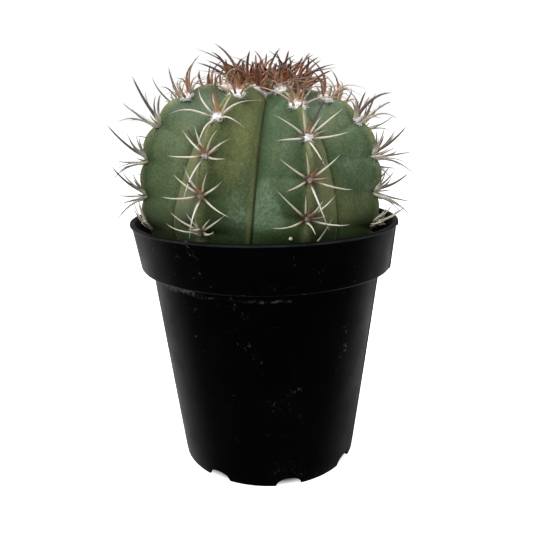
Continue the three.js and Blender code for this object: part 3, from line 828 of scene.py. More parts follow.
CREST_BELOW, CREST_ABOVE = (float(v) for v in crest_lengths())
print("crest line:", round(CREST_BELOW, 1), "mm below and", round(CREST_ABOVE, 1), "mm above")

# %% A place on the skin
place_tree = geometry_group("place on the stem", {
    "Rib": ("number", 0.0), "Share": ("number", 0.0), "Arc": ("number", 0.0),
    "Grow": ("number", 0.0),
}, {"Position": "vector", "Out": "vector", "Along": "vector", "Swell": "number", "Drop": "number"})
net = place_tree
rib, share, arc = (net.given(label) for label in ("Rib", "Share", "Arc"))
sample = net.node("GeometryNodeSampleCurve", {
    "Curves": net.use(crest_tree.tree), "Length": arc + CREST_BELOW}, mode="LENGTH")
r, _, z = net.parts(net.leaving(sample, "Position"))
dr, _, dz = net.parts(net.leaving(sample, "Tangent"))

side = (net.math("SQRT", share * share + CREST_ROUNDING ** 2) - CREST_ROUNDING) \
    / (math.sqrt(1 + CREST_ROUNDING ** 2) - CREST_ROUNDING)
side = net.math("MINIMUM", side, 1.0)
fade = net.smooth(r, GROOVES_END, GROOVES_FULL)


def pick(net, rib, values):
    """The value of this rib, out of one for each rib."""
    switch = net.node("GeometryNodeIndexSwitch", data_type="FLOAT")
    while len(switch.index_switch_items) < RIBS:
        switch.index_switch_items.new()
    net.feed(switch.inputs["Index"], net.math("MINIMUM", net.math("MAXIMUM", rib, 0.0), RIBS - 1.0))
    for i, value in enumerate(values):
        switch.inputs[i + 1].default_value = value
    return net.leaving(switch)


distance = arc - pick(net, rib, AREOLE_STARTS)
below = distance / AREOLE_SPACING
reached = net.math("MAXIMUM", distance, 0.0) * (4 * AREOLE_STRETCH) + AREOLE_SPACING ** 2
above = (net.math("SQRT", reached) - AREOLE_SPACING) / (2 * AREOLE_STRETCH)
number = net.mix(net.math("GREATER_THAN", distance, 0.0), below, above)
NOTCH_SOFTNESS = 0.004
wave = net.math("SINE", number * math.pi)
swell = (wave * wave + NOTCH_SOFTNESS) ** (HUMP_ROUNDNESS / 2)
hump = swell * (1 - side) ** HUMP_NARROWING * HUMP

half = math.radians(RIB_PITCH / 2)
groove_radius = STEM_RADIUS - GROOVE_MODEL
spanned = net.math("SINE", side * half) * STEM_RADIUS \
    + net.math("SINE", (1 - side) * half) * groove_radius
straight = STEM_RADIUS * groove_radius * math.sin(half) / spanned
skewed = side ** BULGE_SKEW
bulge = skewed * (1 - skewed) * (4 * FLANK_BULGE)
crease = net.math("EXPONENT", (side - 1) / CREASE_WIDTH) * CREASE_DEPTH
depth = net.smooth(arc, *GROOVE_DEEPENS, GROOVE_DEPTH_LOW, GROOVE_DEPTH_HIGH) \
    - net.smooth(arc, *GROOVE_EASES, 0.0, GROOVE_DEPTH_HIGH - GROOVE_DEPTH_TOP)
drop = (STEM_RADIUS - straight - bulge) * depth / GROOVE_MODEL + crease


def azimuth_of(rib, share):
    """The azimuth, in radians, at a share of the way from a rib's crest to its groove."""
    return (share * (RIB_PITCH / 2) - rib * RIB_PITCH + FIRST_RIB) * math.radians(1)


facing_x, facing_y = net.heading(azimuth_of(rib, share))
rough_place = net.vector(facing_x * r, facing_y * r, z)
uneven = (net.noise(rough_place, 0.045, 2.0, 0.5) - 0.5) * UNEVENNESS
offset = fade * (hump - drop + uneven) + net.given("Grow")
hollow = net.math("MAXIMUM", 1 - (r / DIMPLE_RADIUS) * (r / DIMPLE_RADIUS), 0.0)
dimple = hollow * hollow * net.math("GREATER_THAN", arc, 0.0) * DIMPLE_DEPTH
final_r = net.math("MAXIMUM", r + dz * offset, 0.0)
final_z = z - dr * offset - dimple
straight_up = net.vector(facing_x * final_r, facing_y * final_r, final_z)


def leaned(net, place):
    return net.turn(place - tuple(pivot), lean) + tuple(pivot_shift)


net.give("Position", leaned(net, straight_up))
net.give("Out", net.turn(net.vector(facing_x * dz, facing_y * dz, dr * -1), lean))
net.give("Along", net.turn(net.vector(facing_x * dr, facing_y * dr, dz), lean))
net.give("Swell", swell)
net.give("Drop", drop)
print("tree:", net.tree.name, "with", len(net.tree.nodes), "nodes")

# %% The skin over the whole stem
RIB_COLUMNS, STEM_ROWS = 48, 168
skin_tree = geometry_group("stem skin", {
    "Columns a rib": ("count", RIB_COLUMNS), "Rows": ("count", STEM_ROWS), "Grow": ("number", 0.0),
}, {"Skin": "shape"})
net = skin_tree
ROOT_ROWS, BURIED_ROWS = 0.05, 0.14  # shares of the rows, so that most are where they show
BURIED_TO = -28
COLUMN_EASING = 0.6  # draws columns together at the crest and in the groove
columns = net.given("Columns a rib") * RIBS + 1
grid = net.out("GeometryNodeMeshGrid", {
    "Size X": float(RIBS), "Size Y": 1.0, "Vertices X": columns, "Vertices Y": net.given("Rows")})
grid_x, grid_y, _ = net.parts(net.out("GeometryNodeInputPosition"))
turn_x = grid_x + RIBS / 2
row = grid_y + 0.5
whole = net.math("FLOOR", turn_x)
rib = RIBS - 1 - whole
flat_share = (turn_x - whole) * 2 - 1
flat_side = net.math("ABSOLUTE", flat_share)
eased = flat_side - net.math("SINE", flat_side * math.tau) * (COLUMN_EASING / math.tau)
share = eased * net.math("SIGN", flat_share)
arc = (net.ramp(row, ROOT_ROWS, BURIED_ROWS, ROOT_FROM, BURIED_TO)
       + net.ramp(row, BURIED_ROWS, 1.0, 0.0, CREST_ABOVE - BURIED_TO))
placed = net.use(place_tree.tree, {
    "Rib": rib, "Share": share, "Arc": arc, "Grow": net.given("Grow")}, output=None)

depth = net.ramp(row, ROOT_ROWS, 0.0, 0.0, 1.0)
before_tip = net.math("LESS_THAN", depth, 0.999)
root_r = (1 - depth) ** ROOT_TAPER * ROOT_RADIUS + before_tip * net.given("Grow")
root_z = STEM_MIDDLE - STEM_DROP + 0.2 - depth * (ROOT_LENGTH + net.given("Grow"))
root_x, root_y = net.heading(azimuth_of(rib, share))
root_place = leaned(net, net.vector(root_x * root_r, root_y * root_r, root_z))
is_root = net.math("LESS_THAN", row, ROOT_ROWS - 1e-4)
position = net.out("ShaderNodeMix", (is_root, net.leaving(placed, "Position"), root_place),
                   data_type="VECTOR")


def stored(net, shape, label, value, kind="FLOAT", domain="POINT"):
    """Keeps a value on the points or the copies, for a finish or another tree to read."""
    values = {"Geometry": shape, "Name": label, "Value": value}
    return net.out("GeometryNodeStoreNamedAttribute", values, data_type=kind, domain=domain)


shape = stored(net, grid, "share", share)
shape = stored(net, shape, "arc", arc)
shape = stored(net, shape, "swell", net.leaving(placed, "Swell"))
FLANKS = [  # how olive, waxy, pale (painted light) and shaded (painted shade) each rib's left and right flank is
    ((0.15, 1.40, 0.0, 0.75), (0.80, 0.10, 0.6, 0.0)),
    ((0.75, 0.00, 0.2, 0.0), (0.85, 0.45, 0.0, 0.6)),
    ((0.45, 0.30, 0.0, 0.2), (0.32, 0.00, 0.1, 0.1)),
    ((0.50, 0.60, 0.2, 0.2), (0.60, 0.90, 0.0, 0.3)),
    ((0.70, 0.30, 0.0, 0.3), (0.30, 0.80, 0.2, 0.1)),
    ((0.40, 0.90, 0.0, 0.4), (0.70, 0.20, 0.3, 0.0)),
    ((0.60, 0.50, 0.2, 0.0), (0.50, 1.00, 0.0, 0.4)),
    ((0.24, 0.00, 0.0, 0.0), (0.50, 0.20, 0.0, 0.2)),
]
on_right = net.smooth(share, -0.1, 0.1)
for i, label in enumerate(("age", "bloom", "pale", "shaded")):
    left = pick(net, rib, [flanks[0][i] for flanks in FLANKS])
    right = pick(net, rib, [flanks[1][i] for flanks in FLANKS])
    shape = stored(net, shape, label, net.mix(on_right, left, right))
shape = net.out("GeometryNodeSetPosition", {"Geometry": shape, "Position": position})
shape = net.out("GeometryNodeMergeByDistance", {"Geometry": shape, "Distance": 0.02})
net.give("Skin", net.out("GeometryNodeSetShadeSmooth", {"Geometry": shape}))
print("tree:", net.tree.name)

# %% [markdown]
# ### Waxy skin
#
# The skin is a blue-green under a thin wax, olive where it is older or stretched, and yellower
# along the crests, with a painted highlight on their swellings. The grooves and the foot are
# painted dark as shade, and every flank has its own share of each, with its own band of painted
# light and of painted shade. Streaks run along each rib, because the skin grew that way, so their
# pattern uses the place across and along the rib that the stem tree stored.

# %% Finish: waxy skin
skin_finish, net, shader = new_material("waxy skin")
BLUE_GREEN = (0.056, 0.096, 0.046, 1)
OLIVE = (0.124, 0.142, 0.051, 1)
SHADE_GREEN = (0.024, 0.046, 0.010, 1)
GROOVE_SHADE = (0.012, 0.026, 0.009, 1)
CREST_YELLOW_HIGHLIGHT = (0.20, 0.215, 0.095, 1)
WAX = (0.17, 0.25, 0.16, 1)
SCAR = (0.24, 0.20, 0.12, 1)


def stored_value(net, label):
    return net.out("ShaderNodeAttribute", attribute_name=label, output="Fac")


share, arc, swell = (stored_value(net, label) for label in ("share", "arc", "swell"))
age, bloom, pale, shaded = (
    stored_value(net, label) for label in ("age", "bloom", "pale", "shaded"))
side = net.math("ABSOLUTE", share)
spot = net.spot()
along_rib = net.vector(share * 11.0, arc * 0.045, net.noise(spot, 12.0, 1.0) * 2)
streaks = net.noise(along_rib, 2.2, 6.0, 0.68)
tone = net.use(patches.tree, {"Scale": 60.0, "Detail": 4.0, "From": 0.3, "To": 0.7})

# Olive where the skin is old, stretched high up or bare of wax low down.
stretched = age * net.smooth(arc, -14.0, 22.0, 0.35, 1.0)
bare_low = net.smooth(bloom, 0.3, 0.0) * net.smooth(arc, 18.0, -4.0)
old = net.smooth(stretched + bare_low * 0.35 + (tone - 0.5) * 0.5 + (streaks - 0.5) * 0.9,
                 0.05, 0.95)
tinted = net.blend(old, BLUE_GREEN, OLIVE)
# Painted shade: darker towards the foot, where the pot's rim keeps the light off.
shade_low = net.smooth(arc + (tone - 0.5) * 10, 20.0, -13.0)
tinted = net.blend(shade_low * (1.05 - side * 0.75), tinted, SHADE_GREEN)

# Wax lies in worn patches, thickest low beside the grooves that have the most bloom.
bloom_place = (net.smooth(side, 0.28, 0.80) * net.smooth(arc, 14.0, -2.0)
               * net.smooth(arc, -11.0, -4.5) * bloom)
waxy_patch = net.smooth(net.noise(spot, 70.0, 4.0, 0.6) + bloom_place * 0.32 - age * 0.05,
                        0.52, 0.76)
waxy_fine = net.smooth(net.noise(spot, 1100.0, 4.0, 0.7), 0.35, 0.65, 0.45, 1.0)
tinted = net.blend(waxy_patch * waxy_fine * net.smooth(arc, -12.0, -5.0) * 0.6, tinted, WAX)

# Painted shade in deep green: at the foot under the pot's rim, towards the grooves higher up and
# under the crests low down. Then each flank's own band of painted light and of painted shade.
in_shelter = net.smooth(arc, -3.0, -10.5) * net.smooth(side, 0.85, 0.25, 0.38, 0.62)
in_groove = net.smooth(side, 0.66, 1.0) * net.smooth(arc, -5.0, 15.0) * 0.4
under_crest = net.smooth(side, 0.50, 0.12) * net.smooth(arc, 5.0, -5.0) * 0.35
tinted = net.blend(in_shelter + in_groove + under_crest, tinted, SHADE_GREEN)
painted_light_band = (net.smooth(side, 0.12, 0.35) * net.smooth(arc, 34.0, 16.0)
             * net.smooth(arc, -10.0, 2.0))
tinted = net.blend(pale * painted_light_band, tinted, CREST_YELLOW_HIGHLIGHT)
shaded_band = (net.smooth(side + (tone - 0.5) * 0.2, 0.50, 0.12)
               * net.smooth(arc, 34.0, 0.0, 0.55, 1.0))
tinted = net.blend(shaded * shaded_band, tinted, SHADE_GREEN)

# Yellow along the crest's swellings, partly a painted highlight, painted shade where the crest
# pinches in, and a painted highlight on the edge beside the groove.
crest = net.smooth(side, 0.16, 0.02) * net.smooth(swell, 0.3, 0.8)
tinted = net.blend(crest * net.smooth(arc, 0.0, 30.0, 0.42, 0.70), tinted, CREST_YELLOW_HIGHLIGHT)
pinch = net.smooth(side, 0.32, 0.03) * net.smooth(swell, 0.72, 0.25) * net.smooth(arc, 30.0, 0.0)
tinted = net.blend(pinch * 0.6, tinted, SHADE_GREEN)
edge = net.smooth(side, 0.84, 0.93) * net.smooth(side, 0.985, 0.95)
tinted = net.blend(edge * net.smooth(age, 0.4, 0.8) * 0.45, tinted, CREST_YELLOW_HIGHLIGHT)
# The groove's crease is painted dark, as shade.
tinted = net.blend(net.smooth(side, 0.975, 0.998), tinted, GROOVE_SHADE)
fine = net.smooth(net.noise(spot, 1200.0, 5.0, 0.75), 0.3, 0.7)
tinted = net.blend(0.34, tinted, net.grey(fine), mode="OVERLAY")
dusty = net.use(dust.tree, {"Speck scale": 800.0, "Rarity": 0.70, "Clump scale": 50.0,
                            "Film": 0.3}, output=None)
tinted = net.blend(net.leaving(dusty, "Specks") * 0.5, tinted, SCAR)
pores = net.use(grain.tree, {"Scale": 2600.0, "Coarseness": 0.45})
fill_in(net, shader, {
    "Base Color": tinted, "Roughness": waxy_patch * 0.12 + 0.44 + fine * 0.08,
    "Specular IOR Level": 0.2, "Sheen Weight": 0.03, "Sheen Roughness": 0.5,
    "Subsurface Weight": 0.06, "Subsurface Radius": (0.6, 1.0, 0.35),
    "Subsurface Scale": 1.2 * MM, "Normal": bumped(net, pores * 0.8 + streaks * 0.5, 0.45, 0.12)})
print("finish:", skin_finish.name)

# %% Make the stem
stem_tree = geometry_group("stem", {
    "Columns a rib": ("count", RIB_COLUMNS), "Rows": ("count", STEM_ROWS),
    "Material": ("material", None),
}, {"Stem": "shape"})
net = stem_tree
skin = net.use(skin_tree.tree, {
    "Columns a rib": net.given("Columns a rib"), "Rows": net.given("Rows")})
net.give("Stem", finished(net, skin, net.given("Material")))
stem = made_by(stem_tree, "stem", {"Material": skin_finish})
dress(stem, ["cactus"])

# %% [markdown]
# ## Where the areoles are
#
# Each crest has a row of areoles, closer together below and wider apart above. The stem's own
# tree places them: a loose point with its rib and length goes in, and comes out on the skin with
# the directions out of it and along the rib.

# %% Areole places
def areole_arc(rib, number):
    return AREOLE_STARTS[rib] + AREOLE_SPACING * number + AREOLE_STRETCH * max(number, 0) ** 2


def areoles_between(low, high):
    """The rib and number of each areole between two lengths along its crest, and those lengths."""
    found = [(rib, number) for rib in range(RIBS) for number in AREOLE_NUMBERS
             if low <= areole_arc(rib, number) < high]
    return found, [areole_arc(rib, number) for rib, number in found]


areoles, arcs = areoles_between(LOWEST_AREOLE, HIGHEST_AREOLE)

finder = geometry_group("find places", {"Points": ("shape", None)}, {"Points": "shape"})
net = finder


def read_value(net, label, kind="FLOAT"):
    return net.out("GeometryNodeInputNamedAttribute", {"Name": label}, data_type=kind)


found = net.use(place_tree.tree, {"Rib": read_value(net, "rib"), "Arc": read_value(net, "arc"),
                                  "Share": read_value(net, "share")}, output=None)
shape = stored(net, net.given("Points"), "out", net.leaving(found, "Out"), "FLOAT_VECTOR")
shape = stored(net, shape, "along", net.leaving(found, "Along"), "FLOAT_VECTOR")
net.give("Points", net.out("GeometryNodeSetPosition", {
    "Geometry": shape, "Position": net.leaving(found, "Position")}))


def places_on_stem(ribs, shares, lengths):
    """Positions, outward and upward directions on the skin, read from the stem's tree."""
    blank = point_mesh("places", [(0, 0, 0)] * len(ribs), {
        "rib": ribs, "share": shares, "arc": lengths})
    made = made_by(finder, "places", host=blank)
    mesh = made.data
    spots = [v.co.copy() for v in mesh.vertices]
    outs = [Vector(v) for v in values_of(mesh, "out")]
    alongs = [Vector(v) for v in values_of(mesh, "along")]
    bpy.data.objects.remove(made)
    return spots, outs, alongs


spots, outs, alongs = places_on_stem([rib for rib, _ in areoles], [0.0] * len(areoles), arcs)
YOUNG_FROM = 8
youths = [smoothstep(a, YOUNG_FROM, HIGHEST_AREOLE) for a in arcs]
inner, inner_arcs = areoles_between(HIGHEST_AREOLE, INNERMOST_AREOLE)
inner_places = places_on_stem([rib for rib, _ in inner], [0.0] * len(inner), inner_arcs)
print(len(areoles), "areoles down the ribs and", len(inner), "at the crown")

# %% [markdown]
# ## Spines
#
# A spine is a slender curved cone with a thickened base. Hundreds are needed, each its own
# length, lean and bend, so one small tube is instanced on a table of roots, and the tree bends
# every copy by the numbers stored on its root. The table starts from the rule that the solids use,
# and adds what they leave out: finer spines, hooks, and the changes that come with age.

# %% The tree that draws spines
spine_tree = geometry_group("draw spines", {
    "Roots": ("shape", None), "Sides": ("count", 6), "Steps": ("count", 8),
    "Taper": ("number", 0.6), "Material": ("material", None),
}, {"Spines": "shape"})
net = spine_tree
SUNK = 1.2  # how far a root goes under the surface
YOUNG_FULLNESS = 0.35  # a young spine stays thick for longer
BULB, BULB_FADING = 0.4, 22  # the swelling at a spine's base, and how soon it ends
tube = net.out("GeometryNodeMeshCylinder", {
    "Vertices": net.given("Sides"), "Side Segments": net.given("Steps"), "Radius": 1.0,
    "Depth": 1.0}, fill_type="TRIANGLE_FAN")
tube_x, tube_y, tube_z = net.parts(net.out("GeometryNodeInputPosition"))
tube = stored(net, tube, "up", tube_z + 0.5)
tube = stored(net, tube, "ring", net.vector(tube_x, tube_y, 0.0), "FLOAT_VECTOR")
copies = net.out("GeometryNodeInstanceOnPoints", {"Points": net.given("Roots"), "Instance": tube})
real = net.out("GeometryNodeRealizeInstances", {"Geometry": copies})
up = read_value(net, "up")
ring_x, ring_y, _ = net.parts(read_value(net, "ring", "FLOAT_VECTOR"))
root = read_value(net, "root", "FLOAT_VECTOR")
direction = read_value(net, "direction", "FLOAT_VECTOR")
bend = read_value(net, "bend", "FLOAT_VECTOR")
length, radius = read_value(net, "length"), read_value(net, "radius")
upright = (0.0, 0.0, 1.0)
beside = net.vector_math("NORMALIZE", net.vector_math("CROSS_PRODUCT", upright, direction))
over = net.vector_math("CROSS_PRODUCT", direction, beside)
reach = up * (1 + SUNK / length) - SUNK / length
held = net.math("MAXIMUM", reach, 0.0)
hooking = read_value(net, "hook", "FLOAT_VECTOR")
centre = (root + direction * (length * reach) + bend * (length * held * held)
          + hooking * (length * held * held * held))
slimming = net.given("Taper") * (1 - read_value(net, "red") * YOUNG_FULLNESS)
thick = radius * (net.math("MAXIMUM", 1 - held, 0.0) ** slimming
                  + net.math("EXPONENT", held * -BULB_FADING) * BULB)
place = centre + (beside * ring_x + over * ring_y) * thick
shape = net.out("GeometryNodeSetPosition", {"Geometry": real, "Position": place})
shape = net.out("GeometryNodeSetShadeSmooth", {"Geometry": shape})
net.give("Spines", finished(net, shape, net.given("Material")))
print("tree:", net.tree.name)

# %% A table of roots
PATTERN = 41


def draw(a, b, c):
    """A repeatable number from 0 to 1 for a place in the pattern."""
    value = math.sin(a * 12.9898 + b * 78.233 + c * 37.719 + PATTERN) * 43758.5453
    return value - math.floor(value)


def spread(a, b, c):
    return 2 * draw(a, b, c) - 1


class Roots:
    """One row for each spine to draw."""

    LABELS = ("root", "direction", "bend", "hook", "length", "radius", "red", "tone")

    def __init__(self):
        self.rows = []

    def add(self, root, direction, bend, hook, length, radius, red, tone):
        self.rows.append((root, direction, bend, hook, length, radius, red, tone))

    def mesh(self, name):
        columns = list(zip(*self.rows))
        numbers = {label: [tuple(v) if isinstance(v, Vector) else v for v in column]
                   for label, column in zip(self.LABELS, columns)}
        return point_mesh(name, [row[0] for row in self.rows], numbers)


# %% Keeping clear of the pot and the soil
SOIL_LEVEL = 88
SOIL_UNEVENNESS = 0.7
KEEP_CLEAR = 1
SPINE_REACH = 60  # from the pot's axis: longer side spines wear off
WEARING = 0.97  # by this much at a time
BENDING_TRIES = 14
SHORTENING = 0.05  # with each try
STOPS = (0.15, 0.4, 0.6, 0.8, 1)  # shares of a spine's length that are tested


def soil_height(x, y):
    wave = math.sin(x * 0.31 + y * 0.17) + math.sin(y * 0.43 - x * 0.22 + 1.3)
    return SOIL_LEVEL + SOIL_UNEVENNESS * wave / 2


def is_clear(point):
    if point.z < soil_height(point.x, point.y) + KEEP_CLEAR:
        return False
    if point.z > POT_HEIGHT + KEEP_CLEAR:
        return True
    return math.hypot(point.x, point.y) < inner_radius(point.z) - KEEP_CLEAR


def cleared(root, direction, bend, length):
    """A spine that would touch the pot or the soil is bent up, and shortened, until it is clear."""
    aimed = direction.copy()
    for attempt in range(BENDING_TRIES):
        size = length * (1 - attempt * SHORTENING)
        while (root + (aimed + bend) * size).to_2d().length > SPINE_REACH:
            size *= WEARING
        stops = [root + aimed * size * s + bend * size * s * s for s in STOPS]
        if all(is_clear(stop) for stop in stops):
            return aimed, size
        aimed = (aimed + Vector((0, 0, 2 / BENDING_TRIES))).normalized()
    return None


# %% Spines of the side areoles
SPINES = [
    # turn from the crown's direction, lift off the surface, length, bend upwards
    (-60, 30, 14, 0), (58, 30, 14, 0), (-112, 36, 16, 0), (110, 36, 16, 0), (180, 46, 16.5, -0.3),
    (-28, 38, 9.5, 0), (30, 38, 9.5, 0), (6, 76, 14, 0.24),
]
FINE_SPINES = [
    (-8, 46, 5.5, 0.05), (82, 44, 6.5, 0.02), (-150, 42, 11.5, -0.2), (146, 44, 11, -0.2),
]
FINE_AT_SIDE, FINE_ELSEWHERE = 4, 2  # how many of them an areole has
YOUNG_ARCS = (22, 44)  # between these an areole gets more and more thick young spines
YOUNG_SPINES = [
    (-4, 78, 15, 0.15), (-38, 58, 12.5, 0.10), (40, 60, 13, 0.12), (160, 64, 12.5, 0.05),
]
ARCHED_SPINES = [  # fine ones that rise from the crown's own areoles and bow over
    (-62, 52, 14, -0.20), (60, 52, 14, -0.20), (-114, 50, 15.5, -0.26), (112, 50, 15.5, -0.26),
    (-24, 54, 12, -0.12), (26, 54, 12, -0.12),
]
CENTRAL_LIFT = 55  # a spine that lifts further off the surface is a central one
SECOND_TURN = 20  # and one that also turns further is a slimmer second one
SHORT_LENGTH = 9
TURN_SPREAD, LIFT_SPREAD, LENGTH_SPREAD = 9, 7, 0.14  # how far each spine strays from its pattern
SPINE_RADIUS = 0.41
CENTRAL_RADIUS = 0.5
CROWN_SPINE_RADIUS = 0.7
OLD_BELOW = -8  # the oldest areoles' spines have gone grey, the lowest of all crooked too
CROOKED_BELOW = -12
PAD_RADIUS = 1.9
DOWNWARD_TURNS = (90, 170)  # between these a spine comes to point down
RADIAL_TURNS = (40, 60)  # and between these it comes to lie across the rib
YOUNG_RISE = 12  # degrees that a young spine stands up further
DOWNWARD_RISE = 24  # and a greyed one that points down
SIDE_RISE = 18  # and a radial one on a rib at the side
DROOP = 0.24  # how far a greyed spine that points down bows
CENTRAL_UPTURN = 0.2  # and a greyed central one turns up
YOUNG_STRAIGHTNESS = 0.6
YOUNG_SHORTENING = 0.16
ARCHING = 0.26  # how far a radial spine arches back towards the plant
SIDE_CURL = 0.16  # and how far one that points sideways turns up along its rib
BEND_SPREAD = 0.10
HOOK_ASIDE, HOOK_ALONG = 0.08, 0.06  # how far a tip strays at any age
YOUNG_CURL, CROOKED_CURL = 0.7, 1.3  # and how much further with youth, or where it is crooked
BEND_SHORTENING = 0.4  # keeps a curled spine about as long as its pattern
RADIAL_REDNESS = 0.6  # of the thin spines round a young areole
ARCHED_REDNESS = 0.42
FACING_SIDEWAYS = (0.75, 0.9)  # ribs whose sine lies past these carry longer, greyer spines

# Added to a spine's number, these keep its draws for one trait off those for another.
TRAITS = {"turn": 0, "lift": 20, "length": 40, "bend": 60, "hook aside": 70, "hook along": 80,
          "tone": 100}

side_roots = Roots()


def side_facing(rib):
    """1 for a rib at the plant's left or right, 0 for one at its front or back."""
    return smoothstep(abs(math.sin(math.radians(FIRST_RIB - rib * RIB_PITCH))), *FACING_SIDEWAYS)


def spine_size(length, is_central, arc, youth, greyed, at_side):
    """The length of a spine at its areole's age."""
    if is_central:
        length *= 1 - 0.4 * (1 - greyed) * smoothstep(arc, 14, -8)
        return length * (1 + 0.28 * at_side * smoothstep(youth, 0.2, 0.6))
    return length * (1 + 0.12 * greyed + 0.3 * at_side * smoothstep(youth, 0.1, 0.6))


def spine_radius(is_central, is_second, is_crooked, youth, greyed):
    thinnest = CENTRAL_RADIUS if is_central else SPINE_RADIUS
    thickest = CROWN_SPINE_RADIUS if is_central else SPINE_RADIUS
    radius = (thinnest + (thickest - thinnest) * youth) * (1.4 if is_crooked else 1)
    return radius * (1 + 0.22 * greyed) * (0.72 if is_second else 1)


def spine_redness(arc, is_central, is_second, is_short):
    """0 for an old ivory spine, 1 for a young red-brown one."""
    if is_second:
        return 0.8
    if arc < OLD_BELOW:
        return 0.0
    return max(RADIAL_REDNESS * smoothstep(arc, 18, 40), 1.0 * is_central, 0.6 * is_short)


def spine_tone(drawn, is_central, arc, youth, greyed):
    """How light a spine is within its colour. Past 1 it also loses its brown base."""
    if arc < OLD_BELOW:
        return 0.3 + 0.3 * drawn
    if greyed > 0.5:
        return 1.6 + 0.45 * drawn
    if is_central and youth < 0.4:
        return 1 + 0.5 * drawn
    return 0.35 + 0.65 * drawn if youth > 0.4 else drawn


def add_bunch(roots, areole, spines, first, fineness=1.0, redness=None):
    """Adds one bunch of spines to an areole. first keeps the draws of one list off another's."""
    (rib, number), arc, youth, place, out, along = areole
    beside = along.cross(out)
    at_side = side_facing(rib)
    greyed = at_side * (1 - smoothstep(youth, 0.4, 0.8))
    is_crooked = arc < CROOKED_BELOW
    pad = PAD_RADIUS * (0.85 + 0.35 * youth)
    wild = YOUNG_CURL * (CROOKED_CURL if is_crooked else smoothstep(youth, 0.25, 0.8))

    def stray(i, trait):
        return spread(rib, number, first + i + TRAITS[trait])

    for i, (turn, lift, length, bending) in enumerate(spines):
        is_central = lift > CENTRAL_LIFT
        is_second = is_central and abs(turn) > SECOND_TURN
        points_down = smoothstep(abs(turn), *DOWNWARD_TURNS)
        turned_by = math.radians(turn + TURN_SPREAD * stray(i, "turn"))
        rising = lift + YOUNG_RISE * youth + LIFT_SPREAD * stray(i, "lift")
        rising += DOWNWARD_RISE * points_down * greyed
        if not is_central:
            rising += SIDE_RISE * at_side * smoothstep(abs(turn), *RADIAL_TURNS)
        rising = math.radians(rising)
        flat = along * math.cos(turned_by) + beside * math.sin(turned_by)
        direction = (flat * math.cos(rising) + out * math.sin(rising)).normalized()
        drooping = DROOP * points_down * greyed - CENTRAL_UPTURN * is_central * greyed
        bend = Vector((0, 0, (bending - drooping) * (1 - YOUNG_STRAIGHTNESS * youth)))
        size = length * (1 - YOUNG_SHORTENING * youth + LENGTH_SPREAD * stray(i, "length"))
        size = spine_size(size, is_central, arc, youth, greyed, at_side)
        root = place + flat * pad * 0.8 * (0.55 + 0.45 * fineness)
        found = cleared(root, direction, bend, size)
        if not found:
            continue
        aimed, size = found
        sideways = abs(math.sin(turned_by)) * (1 if abs(turn) > 90 else 0.35)
        arching = ARCHING * (1 - 0.75 * greyed * points_down)
        bend = bend + along * SIDE_CURL * sideways + out * -arching * (0.2 if is_central else 1)
        bend = bend + beside * BEND_SPREAD * stray(i, "bend")
        hook = (beside * (HOOK_ASIDE + wild) * stray(i, "hook aside")
                + along * (HOOK_ALONG + wild) * stray(i, "hook along") + out * -0.3 * wild)
        size /= 1 + BEND_SHORTENING * wild * (bend + hook).length
        radius = fineness * spine_radius(is_central, is_second, is_crooked, youth, greyed)
        red = redness
        if red is None:
            red = spine_redness(arc, is_central, is_second, length < SHORT_LENGTH)
        drawn = draw(rib, number, first + i + TRAITS["tone"])
        tone = spine_tone(drawn, is_central, arc, youth, greyed)
        roots.add(root, aimed, bend, hook, size, radius, red, tone)


FINE_DRAWS, YOUNG_DRAWS = 200, 300
for areole in zip(areoles, arcs, youths, spots, outs, alongs):
    add_bunch(side_roots, areole, SPINES, 0)
    (rib, _), arc = areole[:2]
    fine_count = FINE_ELSEWHERE if side_facing(rib) < 0.5 else FINE_AT_SIDE
    add_bunch(side_roots, areole, FINE_SPINES[:fine_count], FINE_DRAWS, fineness=0.62)
    young_count = round((len(YOUNG_SPINES) - 1) * smoothstep(arc, *YOUNG_ARCS))
    add_bunch(side_roots, areole, YOUNG_SPINES[1:1 + young_count], YOUNG_DRAWS)
print(len(side_roots.rows), "spines down the ribs")

# %% [markdown]
# ### Horny spines
#
# A spine is dry and horny. The old ones are ivory with a brown base and a grey tip, the young
# ones red-brown turning grey-black at the tip. Both are one material: each spine stores how red
# and how light it is, and each point stores how far up the spine it lies.

# %% Finish: horny spines
spine_finish, net, shader = new_material("horny spines")
IVORY = (0.54, 0.48, 0.36, 1)
PALE_IVORY = (0.78, 0.76, 0.64, 1)
BASE_BROWN = (0.14, 0.058, 0.032, 1)
TIP_GREY = (0.150, 0.135, 0.120, 1)
RED_BROWN = (0.23, 0.050, 0.028, 1)
ORANGE_BROWN = (0.42, 0.205, 0.092, 1)
TIP_DARK = (0.085, 0.070, 0.066, 1)
up, red, own_tone = (stored_value(net, label) for label in ("up", "red", "tone"))
bands = net.noise(net.spot(), 700.0, 3.0, 0.6)
old = net.blend(own_tone, IVORY, PALE_IVORY)
at_base = net.smooth(up + (bands - 0.5) * 0.12, 0.30, 0.10)
old = net.blend(at_base * net.smooth(own_tone, 1.6, 1.1, 0.3, 1.0), old, BASE_BROWN)
old = net.blend(net.smooth(up + (own_tone - 0.5) * 0.4, 0.62, 1.08) * 0.85, old, TIP_GREY)
young = net.blend(net.smooth(own_tone + (bands - 0.5) * 0.5, 0.1, 1.0), RED_BROWN, ORANGE_BROWN)
scorched = net.smooth(up + (own_tone - 0.5) * 0.4, 0.46, 0.92) * net.smooth(red, 0.5, 0.95)
young = net.blend(scorched * 0.92, young, TIP_DARK)
tinted = net.blend(net.smooth(red, 0.1, 0.95), old, young)
tinted = net.blend(1.0, tinted, net.grey(bands * 0.5 + 0.72), mode="MULTIPLY")
fibres = net.use(grain.tree, {"Scale": 5200.0, "Coarseness": 0.4})
